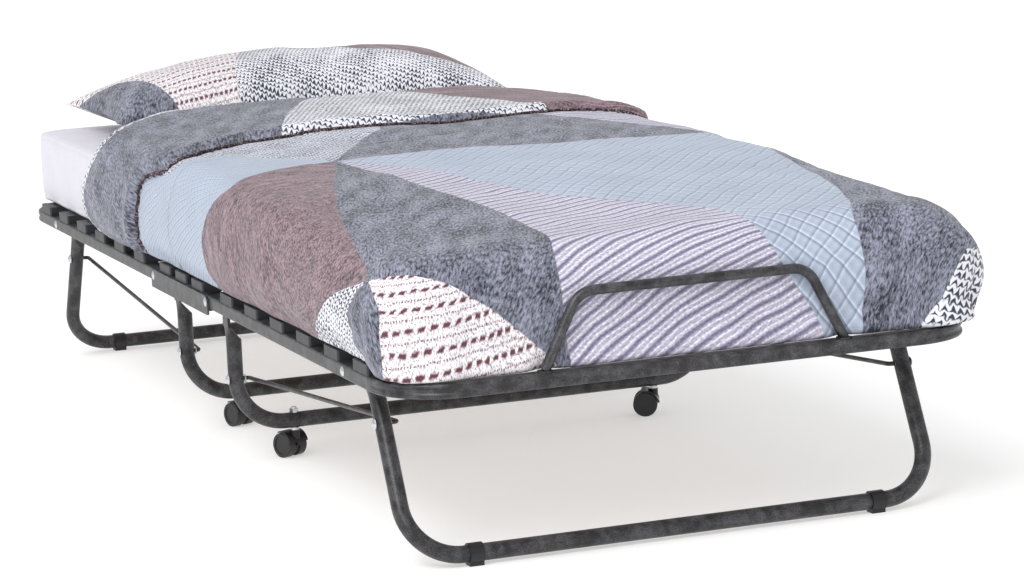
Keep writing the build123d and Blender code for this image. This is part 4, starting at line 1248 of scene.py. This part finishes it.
@dataclass
class Mattress:
    """The foam mattress in its white cover, with a sewn edge round its top and bottom."""

    half_width: float = 386.0
    bottom: float = 262.2
    top: float = 374.0
    ends: Tuple[float, float] = (-912.0, 926.0)
    corner: float = 50.0
    step: float = 14.0

    def outline(self, end: float, inset: float) -> List[Point2]:
        """Half outline from Y = 0 on the left, round one end, to Y = 0 on the right."""
        way = 1 if end > 0 else -1
        radius = max(self.corner - inset, 4)
        half, tip = self.half_width - inset, abs(end) - inset
        count = round((tip - radius) / self.step)
        left = [(-half, way * (tip - radius) * k / count) for k in range(count + 1)]
        arc = [(-half + radius - radius * math.cos(a), way * (tip - radius + radius * math.sin(a)))
               for a in (math.pi / 2 * k / 8 for k in range(1, 8))]
        columns = round(2 * (half - radius) / self.step)
        front = [(-half + radius + 2 * (half - radius) * k / columns, way * tip) for k in range(columns + 1)]
        right = [(-x, y) for x, y in reversed(left + arc)]
        return left + arc + front + right

    def piece(self, name: str, end: float) -> bpy.types.Object:
        """Builds one half as stacked outlines, pillowed at its sides and crowned on top.

        Args:
            name: the object's name.
            end: Y of its far end.

        Returns:
            The closed mesh.
        """
        profile = [(16, 0), (5, 1.5), (1.5, 6), (2.6, 9), (0.8, 14), (0.0, 34), (-0.6, 56), (0.0, 78),
                   (0.8, 98),
                   (2.6, 103), (1.5, 106), (5, 110), (16, 111.8)]
        rows = [(inset, self.bottom + height) for inset, height in profile]
        vertices: List[Tuple[float, float, float]] = []
        faces: List[Tuple[int, ...]] = []
        base = self.outline(end, 0)
        count = len(base)
        centre_y = (abs(end) - 120) * (1 if end > 0 else -1)
        for inset, z in rows:
            for x, y in base:
                pull_x = max(min(x, self.half_width - 60), -(self.half_width - 60)) - x
                pull_y = (centre_y - y) if abs(y) > abs(centre_y) else 0.0
                length = math.hypot(pull_x, pull_y) or 1.0
                vertices.append((x + pull_x / length * inset, y + pull_y / length * inset, z))
        for row in range(len(rows) - 1):
            for k in range(count - 1):
                a = row * count + k
                faces.append((a, a + 1, a + 1 + count, a + count))
        for row, flip in ((0, True), (len(rows) - 1, False)):
            cap = list(range(row * count, row * count + count))
            previous = cap
            for share in (0.75, 0.5, 0.25, 0.0):
                ring = []
                for number in cap:
                    x, y, z = vertices[number]
                    ring.append(len(vertices))
                    inner_x = x * share
                    crown = 1.2 * (1 - share) * (0 if flip else 1)
                    vertices.append((inner_x,
                                     y if abs(y) < abs(centre_y) else centre_y + (y - centre_y) * share,
                                     z + crown))
                for k in range(count - 1):
                    quad = (previous[k], previous[k + 1], ring[k + 1], ring[k])
                    faces.append(quad[::-1] if flip else quad)
                previous = ring
        obj = make_object(name, np.array(vertices), faces)
        work = bmesh.new()
        work.from_mesh(obj.data)
        bmesh.ops.remove_doubles(work, verts=work.verts, dist=2e-5)
        bmesh.ops.holes_fill(work, edges=[e for e in work.edges if e.is_boundary], sides=0)
        bmesh.ops.recalc_face_normals(work, faces=work.faces)
        work.to_mesh(obj.data)
        work.free()
        obj.data.polygons.foreach_set("use_smooth", [True] * len(obj.data.polygons))
        return obj

    def build(self, material: bpy.types.Material) -> List[bpy.types.Object]:
        """Builds and dresses both halves."""
        made = []
        for end_name, end in (("foot", self.ends[0]), ("head", self.ends[1])):
            obj = self.piece(f"mattress_cover_{end_name}", end)
            dress(obj, material)
            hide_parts(f"{end_name}_mattress", f"{end_name}_mattress_middle")
            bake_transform(obj)
            LOG.info("mattress %s: %d faces", end_name, len(obj.data.polygons))
            made.append(obj)
        return made


@dataclass
class Pillow:
    """The pillow: two sewn sheets blown up by a short cloth simulation, with pointed corners."""

    centre: Tuple[float, float, float] = (10.0, 732.0, 375.0)
    width: float = 692.0
    length: float = 342.0
    thickness: float = 124.0
    cells: Tuple[int, int] = (76, 40)

    def shape(self, u: np.ndarray, v: np.ndarray) -> np.ndarray:
        """Half thickness of the pillow at u, v from -1 to 1."""
        fall = (1 - np.abs(u) ** np.where(u < 0, 1.9, 2.6)) * (1 - np.abs(v) ** 2.3)
        return np.clip(fall, 0, 1) ** 0.55

    def outline(self, u: np.ndarray, v: np.ndarray) -> Tuple[np.ndarray, np.ndarray]:
        """Plan position: sides pull in between the pointed corners."""
        x = u * self.width / 2 * (1 - 0.055 * (1 - v ** 2))
        y = v * self.length / 2 * (1 - 0.10 * (1 - u ** 2))
        return x, y

    def build(self, material: bpy.types.Material) -> bpy.types.Object:
        """Builds, simulates, dresses and hangs the pillow."""
        nu, nv = self.cells
        us, vs = np.linspace(-1, 1, nu + 1), np.linspace(-1, 1, nv + 1)
        u, v = np.meshgrid(us, vs)
        u, v = u.ravel(), v.ravel()
        x, y = self.outline(u, v)
        high = self.shape(u, v)
        lift = self.centre[2] + np.where(u < 0, 42, 26) * np.abs(u) ** 2.4
        up = np.column_stack([x + self.centre[0], y + self.centre[1], lift + high * self.thickness])
        low = np.column_stack([x + self.centre[0], y + self.centre[1],
                               np.maximum(lift - high * 30, self.centre[2])])
        flat = np.column_stack([x, y, np.zeros(len(x))])
        up[:, 2] += high * (7.0 * noise_field(flat, 150, 2.2) + 2.5 * noise_field(flat, 55, 9.1))
        index = lambda i, j: j * (nu + 1) + i
        faces = [(index(i, j), index(i + 1, j), index(i + 1, j + 1),
                  index(i, j + 1)) for j in range(nv) for i in range(nu)]
        vertices, joined, source, _ = close_shell(up, low, faces, np.zeros((len(up), 3)), 1)
        obj = make_object("pillow_cover", vertices, joined)
        cloth = np.column_stack([x, y])[source]
        self.write_cloth(obj, cloth)
        self.simulate(obj)
        self.rest_on_mattress(obj)
        dress(obj, material)
        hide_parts("pillow")
        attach(obj, "head_half")
        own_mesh(obj)
        LOG.info("pillow: %d faces", len(obj.data.polygons))
        return obj

    def patches(self) -> List[Patch]:
        """The pillow's own patches, on its flat cloth around its middle."""
        left = curve((-190, -260), (-245, -120), (-272, -10), (-325, 90), (-400, 260))
        middle = curve((-130, -260), (-128, -120), (-90, 0), (-30, 110), (0, 260))
        right = curve((200, -260), (175, -120), (60, 0), (10, 80), (0, 260))
        lower = curve((-80, -260), (0, -60), (120, -40), (260, -90), (420, -130))
        return [
            Patch(Fabric.MAUVE, ((-900, -400), (900, -400), (900, 400), (-900, 400))),
            Patch(Fabric.DASH, tuple(left + middle[::-1])),
            Patch(Fabric.CHUNKY, tuple(middle + right[::-1])),
            Patch(Fabric.SLATE, tuple(left + [(-900, 400), (-900, -400)])),
            Patch(Fabric.CHUNKY, tuple(lower + [(420, -400), (-80, -400)])),
        ]

    def write_cloth(self, obj: bpy.types.Object, cloth: np.ndarray) -> None:
        """Writes the pillow's UV map and masks."""
        mesh = obj.data
        loops = np.zeros(len(mesh.loops), int)
        mesh.loops.foreach_get("vertex_index", loops)
        for name, values in (("cloth", cloth), ("level", cloth * 1.3)):
            layer = mesh.uv_layers.new(name=name)
            layer.data.foreach_set("uv", (values[loops] * MM).astype(np.float32).ravel())
        patches = self.patches()
        out = {fabric: np.full(len(cloth), -1e3) for fabric in Fabric if fabric is not Fabric.SLATE}
        above = np.full(len(cloth), -1e9)
        for patch in reversed(patches):
            distance = patch.distance(cloth)
            if patch.fabric is not Fabric.SLATE:
                out[patch.fabric] = np.maximum(out[patch.fabric], np.minimum(distance, -above))
            above = np.maximum(above, distance)
        for fabric, values in out.items():
            mesh.attributes.new(fabric.value, "FLOAT", "POINT").data.foreach_set("value",
                values.astype(np.float32))
        mesh.attributes.new("sweep", "FLOAT", "POINT").data.foreach_set("value",
            cloth[:, 1].astype(np.float32))
        mesh.attributes.new("piping", "FLOAT", "POINT").data.foreach_set("value",
            np.full(len(cloth), -50, np.float32))

    def simulate(self, obj: bpy.types.Object) -> None:
        """Blows the pillow up a little with a cloth simulation, so that its seams pucker."""
        before = np.array([v.co for v in obj.data.vertices])
        cloth = obj.modifiers.new("air", "CLOTH")
        cloth.settings.use_pressure = True
        cloth.settings.uniform_pressure_force = 3.0
        cloth.settings.effector_weights.gravity = 0.0
        cloth.settings.quality = 6
        cloth.point_cache.frame_start, cloth.point_cache.frame_end = 1, 14
        scene = bpy.context.scene
        for frame in range(1, 15):
            scene.frame_set(frame)
        moved = obj.evaluated_get(bpy.context.evaluated_depsgraph_get()).to_mesh()
        after = np.array([v.co for v in moved.vertices])
        obj.modifiers.remove(cloth)
        scene.frame_set(1)
        step = after - before
        length = np.linalg.norm(step, axis=1, keepdims=True)
        capped = before + step * np.minimum(1, 0.012 / np.maximum(length, 1e-9))
        obj.data.vertices.foreach_set("co", capped.astype(np.float32).ravel())
        obj.data.update()

    def rest_on_mattress(self, obj: bpy.types.Object) -> None:
        """Keeps the underside on the mattress."""
        points = np.array([v.co for v in obj.data.vertices])
        points[:, 2] = np.maximum(points[:, 2], self.centre[2] * MM)
        obj.data.vertices.foreach_set("co", points.astype(np.float32).ravel())
        divide = obj.modifiers.new("smooth", "SUBSURF")
        divide.levels = divide.render_levels = 1


# ---------------------------------------------------------------- frame
@dataclass
class Frame:
    """The metal, plastic and wooden pieces, which keep their shapes and get their finishes."""

    coat: PowderCoat = PowderCoat()
    zinc: Zinc = Zinc()
    wood: Plywood = Plywood()
    holder: Moulded = Moulded("moulded_holder", "#1d1e21", "#2f3136", 0.45)
    black: Moulded = Moulded("moulded_black", "#0e0e10", "#1c1c1f", 0.38)
    wheel: Moulded = Moulded("moulded_wheel", "#18181a", "#2a2a2d", 0.42)

    def build(self, frame: Dict[str, object]) -> None:
        """Dresses every carried-over piece by its material slot."""
        made = {
            "frame_paint": self.coat.make(), "zinc": self.zinc.make(), "slat_wood": self.wood.make(),
            "holder_plastic": self.holder.make(), "black_plastic": self.black.make(),
            "wheel_plastic": self.wheel.make(),
        }
        for part in frame["record"]["subparts"]:
            material = made.get(part["material_slot"])
            if material is not None:
                dress(frame["nodes"][part["node"]], material)


# ---------------------------------------------------------------- studio
@dataclass
class Studio:
    """Camera, lights and a plain pale floor."""

    place: Tuple[float, float, float] = (-1753.5, -4995.5, 1078.0)
    yaw: float = 20.45
    pitch: float = 9.47
    roll: float = -2.45
    lens: float = 127.5
    sky_strength: float = 0.72
    sun_strength: float = 1.15

    def camera(self) -> None:
        """Makes the camera."""
        yaw, pitch, roll = (math.radians(a) for a in (self.yaw, self.pitch, self.roll))
        ahead = Vector((math.sin(yaw) * math.cos(pitch), math.cos(yaw) * math.cos(pitch), -math.sin(pitch)))
        right = Vector((math.cos(yaw), -math.sin(yaw), 0))
        up = right.cross(ahead)
        turned_right = math.cos(roll) * right + math.sin(roll) * up
        turned_up = -math.sin(roll) * right + math.cos(roll) * up
        data = bpy.data.cameras.new("camera")
        data.lens, data.sensor_width = self.lens, 36.0
        data.clip_end = 60.0
        obj = bpy.data.objects.new("camera", data)
        bpy.context.scene.collection.objects.link(obj)
        matrix = Matrix((turned_right, turned_up, -ahead)).transposed().to_4x4()
        matrix.translation = Vector(self.place) * MM
        obj.matrix_world = matrix
        bpy.context.scene.camera = obj

    def light(self, name: str, place: Point2, height: float, size: float, power: float,
              aim: Tuple[float, float, float]) -> None:
        """Adds one soft box.

        Args:
            name: its name.
            place: X and Y in metres.
            height: Z in metres.
            size: side of its square in metres.
            power: watts.
            aim: the point it faces, in metres.
        """
        data = bpy.data.lights.new(name, "AREA")
        data.energy, data.size = power, size
        obj = bpy.data.objects.new(name, data)
        obj.location = (place[0], place[1], height)
        obj.rotation_euler = (Vector(aim) - obj.location).to_track_quat("-Z", "Y").to_euler()
        bpy.context.scene.collection.objects.link(obj)

    def sun(self, way: Tuple[float, float, float], strength: float, softness: float) -> None:
        """Adds the even light from above the left side.

        Args:
            way: the direction in which it shines.
            strength: watts per square metre.
            softness: how wide it looks, in degrees.
        """
        data = bpy.data.lights.new("sun", "SUN")
        data.energy, data.angle = strength, math.radians(softness)
        obj = bpy.data.objects.new("sun", data)
        obj.rotation_euler = Vector(way).to_track_quat("-Z", "Y").to_euler()
        bpy.context.scene.collection.objects.link(obj)

    def floor(self) -> None:
        """Makes the pale floor."""
        half = 30000.0
        obj = make_object("floor", np.array([(-half, -half, 0), (half, -half, 0), (half, half, 0), (-half,
            half, 0)]), [(0, 1, 2, 3)])
        material, _, shader = new_material("floor_white")
        shader.inputs["Base Color"].default_value = linear("#d2d2d2")
        shader.inputs["Roughness"].default_value = 0.9
        shader.inputs["Emission Color"].default_value = linear("#ffffff")
        shader.inputs["Emission Strength"].default_value = 0.43
        dress(obj, material)

    def build(self) -> None:
        """Sets the whole studio up."""
        self.camera()
        self.floor()
        self.sun((0.55, 0.35, -1.0), self.sun_strength, 30.0)
        self.light("key", (-2.4, -3.0), 2.6, 1.6, 55, (0, -0.4, 0.3))
        world = bpy.data.worlds.new("studio")
        world.use_nodes = True
        world.node_tree.nodes["Background"].inputs["Color"].default_value = (1, 1, 1, 1)
        world.node_tree.nodes["Background"].inputs["Strength"].default_value = self.sky_strength
        scene = bpy.context.scene
        scene.world = world
        scene.view_settings.view_transform = "Standard"


def main() -> None:
    """Builds the frame's looks, the bedding and the studio."""
    logging.basicConfig(level=logging.INFO, format="%(name)s: %(message)s")
    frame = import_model()
    Studio().build()
    Frame().build(frame)
    Mattress().build(Ticking().make())
    patchwork = Patchwork().make()
    Duvet().build(patchwork)
    Pillow().build(patchwork)


if __name__ == "__main__":
    main()
